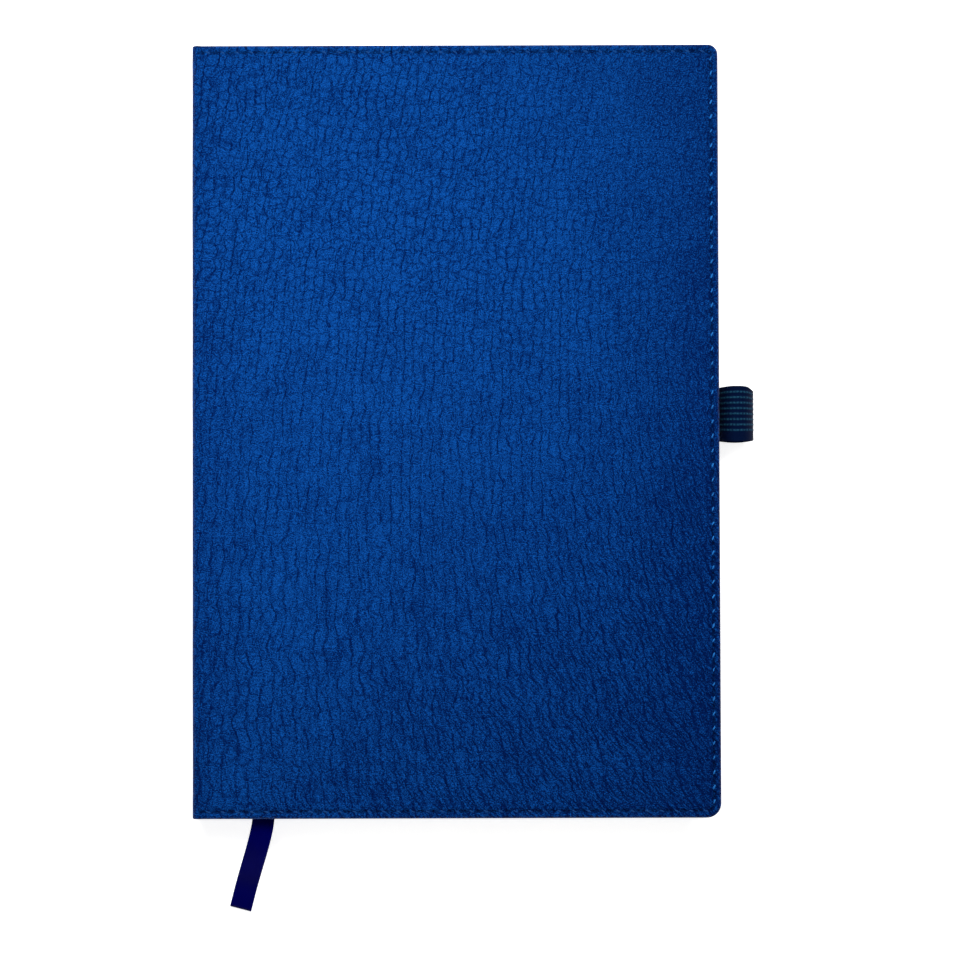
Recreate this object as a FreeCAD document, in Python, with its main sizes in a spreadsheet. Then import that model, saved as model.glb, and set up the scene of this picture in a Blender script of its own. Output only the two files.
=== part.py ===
import FreeCAD, Part
import math
import os
import Sketcher

# A case-bound pilot logbook, lying on its back cover.
# X runs from the spine to the fore-edge, Y from the tail to the head, Z up.
# The origin is the middle of the back cover's outer face.  All sizes are in millimetres.

# ---------------------------------------------------------------- driving sizes
DRIVING_SIZES = [
    ("cover_width", 143.0, "spine edge to fore-edge"),
    ("cover_height", 210.0, "tail edge to head edge"),
    ("corner_radius", 3.5, "fore-edge corners of the covers"),
    ("leather_thickness", 0.8, "outer skin of the case"),
    ("board_thickness", 1.4, "flexible board inside each cover"),
    ("turn_in_thickness", 0.5, "skived leather folded over the board"),
    ("turn_in_width", 12.0, "leather folded over the board's edge"),
    ("endpaper_thickness", 0.15, "pastedowns and flyleaves"),
    ("endpaper_margin", 4.5, "leather left showing round a pastedown"),
    ("spine_board_thickness", 0.6, "card inside the spine"),
    ("mull_thickness", 0.2, "gauze glued to the section folds"),
    ("thread_diameter", 0.3, "sewing thread across the folds"),
    ("flange_reach", 0.9, "spine leather beyond the crease line"),
    ("hinge_clearance", 0.3, "between the spine leather and a swinging cover"),
    ("square", 2.5, "covers beyond the leaves at head, tail and fore-edge"),
    ("leaf_thickness", 0.11, "one leaf"),
    ("leaf_gap", 0.02, "air between leaves"),
    ("leaves_per_section", 8, "leaves in one sewn section"),
    ("section_count", 10, "sewn sections"),
    ("leaf_corner_radius", 3.0, "fore-edge corners of the leaves"),
    ("cover_gap", 0.1, "between a pastedown and its flyleaf"),
    ("ribbon_gap", 0.34, "room for the ribbon between two sections"),
    ("ribbon_width", 6.0, "marker ribbon"),
    ("ribbon_thickness", 0.2, "marker ribbon"),
    ("stitch_inset", 1.9, "thread line to the cover's edge"),
    ("stitch_pitch", 3.95, "from one stitch to the next"),
    ("stitch_length", 3.0, "thread showing in one stitch"),
    ("stitch_width", 0.55, "thread across one stitch"),
    ("stitch_slant", 5.0, "degrees between a stitch and its row"),
    ("groove_width", 1.1, "pressed line that the stitches lie in"),
    ("groove_depth", 0.25, "pressed line that the stitches lie in"),
    ("headband_radius", 0.7, "bead of the headbands"),
    ("headband_tape", 10.0, "tape below the bead"),
    ("loop_width", 15.0, "elastic pen loop along the fore-edge"),
    ("loop_reach", 10.1, "pen loop beyond the fore-edge"),
    ("loop_bore", 4.35, "inner radius of the pen loop"),
    ("loop_above_middle", 4.7, "pen loop's middle above the cover's middle"),
    ("loop_floor_gap", 0.3, "pen loop above the surface under the book"),
    ("loop_seam_gap", 0.5, "pen loop clear of the cover's edge"),
    ("elastic_thickness", 0.65, "one layer of elastic"),
    ("tab_depth", 9.0, "elastic sewn into the back cover"),
    ("fit_gap", 0.05, "between pieces laid edge to edge"),
]

doc = FreeCAD.newDocument("pilot_logbook")
sizes = doc.addObject("Spreadsheet::Sheet", "Sizes")
for row, (alias, number, meaning) in enumerate(DRIVING_SIZES, start=1):
    sizes.set(f"A{row}", meaning)
    sizes.set(f"B{row}", str(number))
    sizes.setAlias(f"B{row}", alias)
doc.recompute()


def value(expression):
    """The number that an expression on the sheet comes to."""
    return float(sizes.evalExpression(str(expression)))


# ---------------------------------------------------------------- sizes that follow from them
WIDTH = "Sizes.cover_width"
HEIGHT = "Sizes.cover_height"
LEATHER = "Sizes.leather_thickness"
TURN_IN = "Sizes.turn_in_thickness"
TURN_IN_WIDTH = "Sizes.turn_in_width"
GAP = "Sizes.fit_gap"

# Up through a cover: leather, board, turned-in leather, pastedown.
CASE_WALL = f"({LEATHER} + Sizes.board_thickness + {TURN_IN})"
COVER = f"({CASE_WALL} + Sizes.endpaper_thickness)"

# A cover swings about the middle of its own thickness, that far in from the spine edge,
# so that it lies level again when it is opened flat, just outside the spine.
CREASE = f"({COVER} / 2)"
REACH = f"(sqrt(Sizes.flange_reach^2 + {CREASE}^2) + Sizes.hinge_clearance)"
PANEL_START = f"({CREASE} + {REACH})"
PANEL_WIDTH = f"({WIDTH} - {PANEL_START})"
FLANGE_END = f"({CREASE} + Sizes.flange_reach)"

# Up through the book: cover, flyleaf, sections, ribbon, the first section's leaves, flyleaf, cover.
LEAF_PITCH = "(Sizes.leaf_thickness + Sizes.leaf_gap)"
SECTION = f"(Sizes.leaves_per_section * {LEAF_PITCH})"
BACK_FLYLEAF_Z = f"({COVER} + Sizes.cover_gap)"
SECTIONS_Z = f"({BACK_FLYLEAF_Z} + Sizes.endpaper_thickness + Sizes.leaf_gap)"
RIBBON_GAP_Z = f"({SECTIONS_Z} + (Sizes.section_count - 1) * {SECTION})"
FIRST_LEAVES_Z = f"({RIBBON_GAP_Z} + Sizes.ribbon_gap)"
FRONT_FLYLEAF_Z = f"({FIRST_LEAVES_Z} + {SECTION})"
BOOK = f"({FRONT_FLYLEAF_Z} + Sizes.endpaper_thickness + Sizes.cover_gap + {COVER})"

# In from the spine edge: leather, spine card, turned-in leather, gauze, thread, folds.
SPINE_CARD_X = LEATHER
SPINE_LINING_X = f"({SPINE_CARD_X} + Sizes.spine_board_thickness)"
MULL_X = f"({SPINE_LINING_X} + {TURN_IN})"
THREAD_X = f"({MULL_X} + Sizes.mull_thickness)"
FOLD_X = f"({THREAD_X} + Sizes.thread_diameter)"
LEAF_END = f"({WIDTH} - Sizes.square)"
LEAF_HEIGHT = f"({HEIGHT} - 2 * Sizes.square)"
SPINE_FLAP_Z = f"({COVER} + 2 * Sizes.cover_gap)"
SPINE_FLAP_HEIGHT = f"({BOOK} - 2 * {SPINE_FLAP_Z})"

# The pen loop's tab lies in the thickness of the back cover's board.
TAB = "(2 * Sizes.elastic_thickness)"
TAB_Z = f"({LEATHER} + (Sizes.board_thickness - {TAB}) / 2)"
LOOP_OUTER = "(Sizes.loop_bore + Sizes.elastic_thickness)"
LOOP_X = f"(Sizes.loop_reach - {LOOP_OUTER})"
LOOP_Z = f"(Sizes.loop_floor_gap + {LOOP_OUTER})"


# ---------------------------------------------------------------- helpers
def new_body(label, x, y, z, turned=False):
    """A body whose X is measured from the spine edge; turned lays it face up, upside down."""
    body = doc.addObject("PartDesign::Body", label)
    body.Label = label
    if turned:
        body.Placement.Rotation = FreeCAD.Rotation(FreeCAD.Vector(1, 0, 0), 180)
    body.setExpression("Placement.Base.x", f"{x} - {WIDTH} / 2")
    body.setExpression("Placement.Base.y", y)
    body.setExpression("Placement.Base.z", z)
    return body


def new_sketch(body, name, role="XY_Plane", height="0"):
    """A sketch on one of the body's own planes, moved along its normal by height."""
    sketch = body.newObject("Sketcher::SketchObject", name)
    plane = next(feature for feature in body.Origin.OriginFeatures if feature.Role == role)
    sketch.AttachmentSupport = [(plane, "")]
    sketch.MapMode = "FlatFace"
    sketch.setExpression("AttachmentOffset.Base.z", height)
    return sketch


def bind(sketch, constraint, expression):
    """Add a dimension and tie it to the sheet."""
    index = sketch.addConstraint(constraint)
    sketch.setExpression(f"Constraints[{index}]", expression)


def place(sketch, axis, geometry, end, expression):
    """Hold one end of a line at a distance from the sketch's origin along one axis."""
    number = value(expression)
    if number == 0:
        other_axis = -2 if axis == "X" else -1
        sketch.addConstraint(Sketcher.Constraint("PointOnObject", geometry, end, other_axis))
        return
    kind = "Distance" + axis
    bind(sketch, Sketcher.Constraint(kind, -1, 1, geometry, end, number), expression)


def outline(sketch, corners):
    """A closed outline of level and upright edges through (x, y, radius) corners, all tied."""
    points = [FreeCAD.Vector(value(x), value(y), 0) for x, y, radius in corners]
    radii = [value(radius) for x, y, radius in corners]
    count = len(corners)
    directions = [(points[(i + 1) % count] - points[i]).normalize() for i in range(count)]

    lines = []
    for i, (x, y, radius) in enumerate(corners):
        start = points[i] + directions[i] * radii[i]
        end = points[(i + 1) % count] - directions[i] * radii[(i + 1) % count]
        line = sketch.addGeometry(Part.LineSegment(start, end))
        if abs(directions[i].x) > abs(directions[i].y):
            sketch.addConstraint(Sketcher.Constraint("Horizontal", line))
            place(sketch, "Y", line, 1, y)
        else:
            sketch.addConstraint(Sketcher.Constraint("Vertical", line))
            place(sketch, "X", line, 1, x)
        lines.append(line)

    for i, (x, y, radius) in enumerate(corners):
        before, after = lines[i - 1], lines[i]
        if radii[i] == 0:
            sketch.addConstraint(Sketcher.Constraint("Coincident", before, 2, after, 1))
            continue
        incoming, outgoing = directions[i - 1], directions[i]
        centre = points[i] - incoming * radii[i] + outgoing * radii[i]
        left_turn = incoming.cross(outgoing).z > 0
        first, last = (-outgoing, incoming) if left_turn else (incoming, -outgoing)
        arc = sketch.addGeometry(Part.ArcOfCircle(
            Part.Circle(centre, FreeCAD.Vector(0, 0, 1), radii[i]),
            math.atan2(first.y, first.x), math.atan2(last.y, last.x)))
        arc_in, arc_out = (1, 2) if left_turn else (2, 1)
        sketch.addConstraint(Sketcher.Constraint("Tangent", before, 2, arc, arc_in))
        sketch.addConstraint(Sketcher.Constraint("Tangent", arc, arc_out, after, 1))
        bind(sketch, Sketcher.Constraint("Radius", arc, radii[i]), radius)


def pad(body, sketch, name, length, symmetric=False, reverse=False):
    feature = body.newObject("PartDesign::Pad", name)
    feature.Profile = sketch
    feature.Reversed = reverse
    if symmetric:
        feature.SideType = "Symmetric"
    feature.setExpression("Length", length)
    return feature


def pocket(body, sketch, name, depth, upward):
    """Cut from the sketch, up through the body or down, and make sure that it cut."""
    doc.recompute()
    before = body.Shape.Volume
    feature = body.newObject("PartDesign::Pocket", name)
    feature.Profile = sketch
    feature.Reversed = upward
    feature.setExpression("Length", depth)
    doc.recompute()
    if body.Shape.Volume >= before:
        raise RuntimeError(f"{body.Label}: {name} cuts nothing")
    return feature


def rectangle(x0, y0, x1, y1, far_radius="0"):
    """Corners of a rectangle, with its two fore-edge corners rounded."""
    return [(x0, y0, "0"), (x1, y0, far_radius), (x1, y1, far_radius), (x0, y1, "0")]


def frame(width, height, outer, inner, outer_radius, inner_radius):
    """Corners of a three-sided frame between two insets, open at the spine side."""
    return [
        ("0", outer, "0"),
        (f"{width} - {outer}", outer, outer_radius),
        (f"{width} - {outer}", f"{height} - {outer}", outer_radius),
        ("0", f"{height} - {outer}", "0"),
        ("0", f"{height} - {inner}", "0"),
        (f"{width} - {inner}", f"{height} - {inner}", inner_radius),
        (f"{width} - {inner}", inner, inner_radius),
        ("0", inner, "0"),
    ]


def sheet_piece(label, x0, x1, height, z, thickness, radius="0", turned=False):
    """A flat piece from x0 to x1, centred on the cover's height, that starts at z."""
    side = 1 if turned else -1
    body = new_body(label, x0, f"{side} * {height} / 2", z, turned)
    sketch = new_sketch(body, label + "_outline")
    outline(sketch, rectangle("0", "0", f"{x1} - {x0}", height, radius))
    pad(body, sketch, label + "_pad", thickness)
    return body


def round_folds(body, radius):
    """Round the two edges of a section that run along its fold."""
    doc.recompute()
    tip = body.Tip
    names = []
    for number, edge in enumerate(tip.Shape.Edges, start=1):
        along_fold = all(abs(vertex.X) < 1e-6 for vertex in edge.Vertexes)
        level = abs(edge.Vertexes[0].Z - edge.Vertexes[-1].Z) < 1e-6
        if along_fold and level:
            names.append(f"Edge{number}")
    fillet = body.newObject("PartDesign::Fillet", body.Label + "_folds")
    fillet.Base = (tip, names)
    fillet.setExpression("Radius", radius)


def group_piece(label, solids, placement):
    """Many small separate solids of one kind, in one node."""
    piece = doc.addObject("Part::Feature", label)
    piece.Label = label
    piece.Shape = Part.makeCompound(solids)
    piece.Placement = placement
    return piece


# ---------------------------------------------------------------- the two covers
def cover_leather(label, turned):
    """The skin of one cover: face, wrapped edges and turn-ins, with two pressed stitch lines."""
    side = 1 if turned else -1
    z = BOOK if turned else "0"
    body = new_body(label, PANEL_START, f"{side} * {HEIGHT} / 2", z, turned)

    face = new_sketch(body, label + "_face_outline")
    outline(face, rectangle("0", "0", PANEL_WIDTH, HEIGHT, "Sizes.corner_radius"))
    pad(body, face, label + "_face", LEATHER)

    edge = new_sketch(body, label + "_edge_outline", height=LEATHER)
    outline(edge, frame(PANEL_WIDTH, HEIGHT, "0", LEATHER,
                        "Sizes.corner_radius", f"Sizes.corner_radius - {LEATHER}"))
    pad(body, edge, label + "_edge", "Sizes.board_thickness")

    turn_in = new_sketch(body, label + "_turn_in_outline", height=f"{CASE_WALL} - {TURN_IN}")
    outline(turn_in, frame(PANEL_WIDTH, HEIGHT, "0", TURN_IN_WIDTH, "Sizes.corner_radius", "0"))
    pad(body, turn_in, label + "_turn_in", TURN_IN)

    near = "(Sizes.stitch_inset - Sizes.groove_width / 2)"
    far = "(Sizes.stitch_inset + Sizes.groove_width / 2)"
    for name, height, upward in (("_outer_groove", "0", True), ("_inner_groove", CASE_WALL, False)):
        groove = new_sketch(body, label + name + "_outline", height=height)
        outline(groove, frame(PANEL_WIDTH, HEIGHT, near, far,
                              f"Sizes.corner_radius - {near}", f"Sizes.corner_radius - {far}"))
        pocket(body, groove, label + name, "Sizes.groove_depth", upward)
    return body


def stitch(point, direction, z, length):
    """One stitch: a short flat bar of thread, a little across its row."""
    width = value("Sizes.stitch_width")
    bar = Part.makeBox(length, width, value("Sizes.groove_depth"),
                       FreeCAD.Vector(-length / 2, -width / 2, 0))
    angle = math.degrees(math.atan2(direction.y, direction.x)) + value("Sizes.stitch_slant")
    bar.rotate(FreeCAD.Vector(0, 0, 0), FreeCAD.Vector(0, 0, 1), angle)
    bar.translate(FreeCAD.Vector(point.x, point.y, z))
    return bar


def evenly_along(edges, pitch):
    """Points and directions at an even pitch along a run of edges, half a pitch in from its ends."""
    total = sum(edge.Length for edge in edges)
    count = int(total / pitch)
    first = (total - (count - 1) * pitch) / 2
    for number in range(count):
        distance = first + number * pitch
        for edge in edges:
            if distance <= edge.Length:
                break
            distance -= edge.Length
        parameter = edge.getParameterByLength(distance)
        yield edge.valueAt(parameter), edge.tangentAt(parameter)


def stitch_line(width, height, inset, radius):
    """Tail, corner, fore-edge, corner and head of a cover, as edges end to end."""
    def arc(x, y, start_angle):
        circle = Part.Circle(FreeCAD.Vector(x, y, 0), FreeCAD.Vector(0, 0, 1), radius)
        return Part.Arc(circle, start_angle, start_angle + math.pi / 2).toShape()

    def line(x0, y0, x1, y1):
        return Part.makeLine(FreeCAD.Vector(x0, y0, 0), FreeCAD.Vector(x1, y1, 0))

    right, top = width - inset, height - inset
    return [
        line(0, inset, right - radius, inset),
        arc(right - radius, inset + radius, -math.pi / 2),
        line(right, inset + radius, right, top - radius),
        arc(right - radius, top - radius, 0),
        line(right - radius, top, 0, top),
    ]


def cover_stitching(label, leather):
    """The thread of one cover: what shows on its face, and what shows on its turn-ins."""
    inset = value("Sizes.stitch_inset")
    radius = value("Sizes.corner_radius") - inset
    line = stitch_line(value(PANEL_WIDTH), value(HEIGHT), inset, radius)
    inside = value(CASE_WALL) - value("Sizes.groove_depth")
    solids = []
    for point, direction in evenly_along(line, value("Sizes.stitch_pitch")):
        on_corner = abs(direction.x * direction.y) > 1e-6
        length = radius if on_corner else value("Sizes.stitch_length")
        solids.append(stitch(point, direction, 0, length))
        solids.append(stitch(point, direction, inside, length))
    return group_piece(label, solids, leather.Placement)


def cover(name, turned):
    """One cover, from its outer face inwards."""
    board_side = f"({LEATHER} + {GAP})"
    infill_side = f"({TURN_IN_WIDTH} + {GAP})"

    def z(inwards):
        return f"{BOOK} - {inwards}" if turned else inwards

    leather = cover_leather(name + "_leather", turned)
    board = sheet_piece(
        name + "_board", PANEL_START, f"({WIDTH} - {board_side})", f"({HEIGHT} - 2 * {board_side})",
        z(LEATHER), "Sizes.board_thickness", f"Sizes.corner_radius - {board_side}", turned)
    infill = sheet_piece(
        name + "_infill", PANEL_START, f"({WIDTH} - {infill_side})", f"({HEIGHT} - 2 * {infill_side})",
        z(f"({CASE_WALL} - {TURN_IN})"), TURN_IN, turned=turned)
    pastedown = sheet_piece(
        name + "_pastedown", PANEL_START, f"({WIDTH} - Sizes.endpaper_margin)",
        f"({HEIGHT} - 2 * Sizes.endpaper_margin)", z(CASE_WALL), "Sizes.endpaper_thickness",
        "Sizes.leaf_corner_radius", turned)
    doc.recompute()
    stitching = cover_stitching(name + "_stitching", leather)
    return [leather, board, infill, pastedown, stitching]


front_cover = cover("front_cover", turned=True)
back_cover = cover("back_cover", turned=False)


# ---------------------------------------------------------------- the spine
def spine_leather():
    """The skin over the spine, from crease to crease, turned in at head and tail."""
    body = new_body("spine_leather", "0", f"-{HEIGHT} / 2", "0")
    inner_radius = f"({CREASE} - {LEATHER})"
    channel = new_sketch(body, "spine_channel_outline", role="XZ_Plane")
    outline(channel, [
        ("0", "0", CREASE), (FLANGE_END, "0", "0"), (FLANGE_END, LEATHER, "0"),
        (LEATHER, LEATHER, inner_radius), (LEATHER, f"{BOOK} - {LEATHER}", inner_radius),
        (FLANGE_END, f"{BOOK} - {LEATHER}", "0"), (FLANGE_END, BOOK, "0"), ("0", BOOK, CREASE),
    ])
    pad(body, channel, "spine_channel", HEIGHT, reverse=True)

    # Folded over the head and the tail of the spine card, and on down its inside.
    flaps = new_sketch(body, "spine_flaps_outline", height=SPINE_FLAP_Z)
    outline(flaps, [
        (SPINE_CARD_X, "0", "0"), (MULL_X, "0", "0"), (MULL_X, TURN_IN_WIDTH, "0"),
        (SPINE_LINING_X, TURN_IN_WIDTH, "0"), (SPINE_LINING_X, LEATHER, "0"),
        (SPINE_CARD_X, LEATHER, "0"),
    ])
    outline(flaps, [
        (SPINE_LINING_X, f"{HEIGHT} - {TURN_IN_WIDTH}", "0"),
        (MULL_X, f"{HEIGHT} - {TURN_IN_WIDTH}", "0"), (MULL_X, HEIGHT, "0"),
        (SPINE_CARD_X, HEIGHT, "0"), (SPINE_CARD_X, f"{HEIGHT} - {LEATHER}", "0"),
        (SPINE_LINING_X, f"{HEIGHT} - {LEATHER}", "0"),
    ])
    pad(body, flaps, "spine_flaps", SPINE_FLAP_HEIGHT)

    near = "(Sizes.stitch_inset - Sizes.groove_width / 2)"
    far = "(Sizes.stitch_inset + Sizes.groove_width / 2)"
    grooves = new_sketch(body, "spine_grooves_outline", height="0")
    for low, high in ((near, far), (f"{HEIGHT} - {far}", f"{HEIGHT} - {near}")):
        outline(grooves, rectangle("0", low, "Sizes.groove_depth", high))
    pocket(body, grooves, "spine_grooves", BOOK, upward=True)
    return body


def spine_stitching():
    """The rows of thread that carry on across the spine, at the tail and at the head."""
    depth = value("Sizes.groove_depth")
    low, high = value(CREASE), value(BOOK) - value(CREASE)
    half_height = value(HEIGHT) / 2
    spine_edge = -value(WIDTH) / 2
    upright = FreeCAD.Rotation(FreeCAD.Vector(0, 1, 0), -90)
    solids = []
    for row in (-1, 1):
        y = row * (half_height - value("Sizes.stitch_inset"))
        edge = Part.makeLine(FreeCAD.Vector(low, 0, 0), FreeCAD.Vector(high, 0, 0))
        for point, direction in evenly_along([edge], value("Sizes.stitch_pitch")):
            bar = stitch(FreeCAD.Vector(0, 0, 0), direction, -depth, value("Sizes.stitch_length"))
            bar.Placement = FreeCAD.Placement(
                FreeCAD.Vector(spine_edge, y, point.x), upright).multiply(bar.Placement)
            solids.append(bar)
    return group_piece("spine_stitching", solids, FreeCAD.Placement())


def upright_sheet(label, x, length, z, height, thickness):
    """A flat piece of the spine that stands on edge, centred on the cover's height."""
    body = new_body(label, x, f"-{length} / 2", z)
    sketch = new_sketch(body, label + "_outline")
    outline(sketch, rectangle("0", "0", thickness, length))
    pad(body, sketch, label + "_pad", height)
    return body


def draw_circle(sketch, x, y, radius):
    circle = sketch.addGeometry(Part.Circle(
        FreeCAD.Vector(value(x), value(y), 0), FreeCAD.Vector(0, 0, 1), value(radius)))
    bind(sketch, Sketcher.Constraint("DistanceX", -1, 1, circle, 3, value(x)), x)
    bind(sketch, Sketcher.Constraint("DistanceY", -1, 1, circle, 3, value(y)), y)
    bind(sketch, Sketcher.Constraint("Radius", circle, value(radius)), radius)


def headband(label, at_head):
    """A striped bead on the end of the folds, on a tape that is glued down their backs."""
    low_end = f"({LEAF_HEIGHT} / 2 - Sizes.headband_tape)"
    thickness = f"({FRONT_FLYLEAF_Z} - {SECTIONS_Z})"
    y = low_end if at_head else f"-{low_end}"
    z = SECTIONS_Z if at_head else FRONT_FLYLEAF_Z
    body = new_body(label, THREAD_X, y, z, turned=not at_head)
    tape = new_sketch(body, label + "_tape_outline")
    outline(tape, rectangle("0", "0", "Sizes.thread_diameter",
                            "Sizes.headband_tape + Sizes.headband_radius"))
    pad(body, tape, label + "_tape", thickness)

    bead = new_sketch(body, label + "_bead_outline")
    draw_circle(bead, "Sizes.headband_radius",
                f"(Sizes.headband_tape + Sizes.headband_radius + {GAP})", "Sizes.headband_radius")
    pad(body, bead, label + "_bead", thickness)
    return body


def section_sewing():
    """Six chain stitches of thread that tie each section to the next, across the folds' backs."""
    radius = 0.9 * value("Sizes.thread_diameter") / 2
    x = value(f"{THREAD_X} + Sizes.thread_diameter / 2 - {WIDTH} / 2")
    low, high = value(SECTIONS_Z), value(FRONT_FLYLEAF_Z)
    reach = value(f"{LEAF_HEIGHT} / 2 - Sizes.headband_tape - Sizes.turn_in_width / 2")
    stations = 6
    solids = []
    for number in range(stations):
        y = reach * (2 * number / (stations - 1) - 1)
        solids.append(Part.makeCylinder(radius, high - low, FreeCAD.Vector(x, y, low)))
    return group_piece("section_sewing", solids, FreeCAD.Placement())


card_height = f"({HEIGHT} - 2 * ({LEATHER} + {GAP}))"
lining_height = f"({HEIGHT} - 2 * ({TURN_IN_WIDTH} + {GAP}))"
mull_height = f"({LEAF_HEIGHT} - Sizes.headband_tape)"
spine = [
    spine_leather(),
    upright_sheet("spine_board", SPINE_CARD_X, card_height, CREASE, f"{BOOK} - 2 * {CREASE}",
                  "Sizes.spine_board_thickness"),
    upright_sheet("spine_lining", SPINE_LINING_X, lining_height, SPINE_FLAP_Z, SPINE_FLAP_HEIGHT,
                  TURN_IN),
    upright_sheet("spine_mull", MULL_X, mull_height, SPINE_FLAP_Z, SPINE_FLAP_HEIGHT,
                  "Sizes.mull_thickness"),
    headband("headband", at_head=True),
    headband("tailband", at_head=False),
    spine_stitching(),
    section_sewing(),
]


# ---------------------------------------------------------------- the leaves
def free_leaf(label, z, thickness):
    """A leaf or flyleaf from where it starts to turn out to its fore-edge."""
    return sheet_piece(label, PANEL_START, LEAF_END, LEAF_HEIGHT, z, thickness,
                       "Sizes.leaf_corner_radius")


leaves = [
    free_leaf("front_flyleaf", FRONT_FLYLEAF_Z, "Sizes.endpaper_thickness"),
    free_leaf("back_flyleaf", BACK_FLYLEAF_Z, "Sizes.endpaper_thickness"),
]
leaves_per_section = int(value("Sizes.leaves_per_section"))
for number in range(1, leaves_per_section + 1):
    below = leaves_per_section - number
    leaves.append(free_leaf(f"leaf_{number}", f"{FIRST_LEAVES_Z} + {below} * {LEAF_PITCH}",
                            "Sizes.leaf_thickness"))

fold_radius = f"{SECTION} * 0.4"
section_folds = sheet_piece("first_section_folds", FOLD_X,
                            f"({PANEL_START} - Sizes.hinge_clearance)",
                            LEAF_HEIGHT, FIRST_LEAVES_Z, SECTION)
round_folds(section_folds, fold_radius)
leaves.append(section_folds)
section_count = int(value("Sizes.section_count"))
for number in range(2, section_count + 1):
    below = section_count - number
    section = sheet_piece(f"section_{number:02d}", FOLD_X, LEAF_END, LEAF_HEIGHT,
                          f"{SECTIONS_Z} + {below} * {SECTION}", SECTION,
                          "Sizes.leaf_corner_radius")
    round_folds(section, fold_radius)
    leaves.append(section)


# ---------------------------------------------------------------- the pen loop
def box_pocket(body, name, x, y, z, width, height, depth):
    """Cut a straight slot, low corner at x, y, z in the body's own frame."""
    sketch = new_sketch(body, name + "_outline", height=z)
    outline(sketch, rectangle(x, y, f"{x} + {width}", f"{y} + {height}"))
    pocket(body, sketch, name, depth, upward=True)


def pen_loop_tab():
    """The two ends of the elastic, one on the other, sewn into the back cover's edge."""
    x = f"({WIDTH} - Sizes.tab_depth)"
    body = new_body("pen_loop_tab", x, "Sizes.loop_above_middle - Sizes.loop_width / 2", TAB_Z)
    sketch = new_sketch(body, "pen_loop_tab_outline")
    outline(sketch, rectangle("0", "0", "Sizes.tab_depth", "Sizes.loop_width"))
    pad(body, sketch, "pen_loop_tab_pad", TAB)
    return body


def tangent_point(point, centre, radius, side):
    """Where a line from a point touches a circle, on its left or right side."""
    away = centre - point
    turn = side * math.asin(radius / away.Length)
    length = math.sqrt(away.Length ** 2 - radius ** 2)
    angle = math.atan2(away.y, away.x) + turn
    return point + FreeCAD.Vector(math.cos(angle), math.sin(angle), 0) * length


def drop_outline(sketch, low, high, radius):
    """A closed drop: a round end at the loop's middle, drawn in by two tangents to low and high."""
    centre = FreeCAD.Vector(value(LOOP_X), value(LOOP_Z), 0)
    low_point, high_point = [FreeCAD.Vector(value(x), value(y), 0) for x, y in (low, high)]
    touch_low = tangent_point(low_point, centre, value(radius), -1)
    touch_high = tangent_point(high_point, centre, value(radius), 1)
    angles = [math.atan2(touch.y - centre.y, touch.x - centre.x) for touch in (touch_low, touch_high)]
    under = sketch.addGeometry(Part.LineSegment(low_point, touch_low))
    round_end = sketch.addGeometry(Part.ArcOfCircle(
        Part.Circle(centre, FreeCAD.Vector(0, 0, 1), value(radius)), *angles))
    over = sketch.addGeometry(Part.LineSegment(touch_high, high_point))
    sketch.addConstraint(Sketcher.Constraint("Tangent", under, 2, round_end, 1))
    sketch.addConstraint(Sketcher.Constraint("Tangent", round_end, 2, over, 1))
    bind(sketch, Sketcher.Constraint("Radius", round_end, value(radius)), radius)
    place(sketch, "X", round_end, 3, LOOP_X)
    place(sketch, "Y", round_end, 3, LOOP_Z)
    place(sketch, "X", under, 1, low[0])
    place(sketch, "Y", under, 1, low[1])
    if low == high:
        sketch.addConstraint(Sketcher.Constraint("Coincident", over, 2, under, 1))
        return
    place(sketch, "X", over, 2, high[0])
    place(sketch, "Y", over, 2, high[1])
    end = sketch.addGeometry(Part.LineSegment(high_point, low_point))
    sketch.addConstraint(Sketcher.Constraint("Coincident", over, 2, end, 1))
    sketch.addConstraint(Sketcher.Constraint("Coincident", end, 2, under, 1))


def pen_loop():
    """The elastic from the seam out, round the pen and back to the seam."""
    body = new_body("pen_loop", WIDTH, "Sizes.loop_above_middle", "0")
    sketch = new_sketch(body, "pen_loop_outline", role="XZ_Plane")
    drop_outline(sketch, ("Sizes.loop_seam_gap", TAB_Z),
                 ("Sizes.loop_seam_gap", f"{TAB_Z} + {TAB}"), LOOP_OUTER)
    apex = ("(Sizes.loop_seam_gap + 1.5 * Sizes.elastic_thickness)", f"{TAB_Z} + {TAB} / 2")
    drop_outline(sketch, apex, apex, "Sizes.loop_bore")
    pad(body, sketch, "pen_loop_pad", "Sizes.loop_width", symmetric=True)
    return body


back_leather, back_board = back_cover[0], back_cover[1]
slot_depth = f"(Sizes.tab_depth + {GAP})"
slot_height = f"(Sizes.loop_width + 2 * {GAP})"
slot_x = f"({PANEL_WIDTH} - {slot_depth})"
slot_y = f"({HEIGHT} / 2 + Sizes.loop_above_middle - {slot_height} / 2)"
box_pocket(back_leather, "pen_loop_slit", slot_x, slot_y, TAB_Z, slot_depth, slot_height, TAB)
board_y = f"({slot_y} - {LEATHER} - {GAP})"
box_pocket(back_board, "pen_loop_notch", slot_x, board_y, "0", slot_depth, slot_height,
           "Sizes.board_thickness")
loop = [pen_loop_tab(), pen_loop()]

# ---------------------------------------------------------------- the marker ribbon
# From the spine at the head, down between two sections, out at the tail and down to the table.
# Each point is (x, y, z) in the book's own frame.
RIBBON_ROUTE = [
    (-65.5, 101.5, 12.65),
    (-62.5, 25.0, 12.65),
    (-57.5, -36.0, 12.65),
    (-53.0, -73.0, 12.65),
    (-51.4, -92.0, 12.65),
    (-51.6, -105.3, 12.65),
    (-53.1, -112.2, 10.6),
    (-55.2, -119.0, 6.3),
    (-57.3, -125.0, 2.2),
    (-59.2, -131.5, 0.45),
]
ARC_SHARE = 0.45
ARC_STEPS = 6


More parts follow.
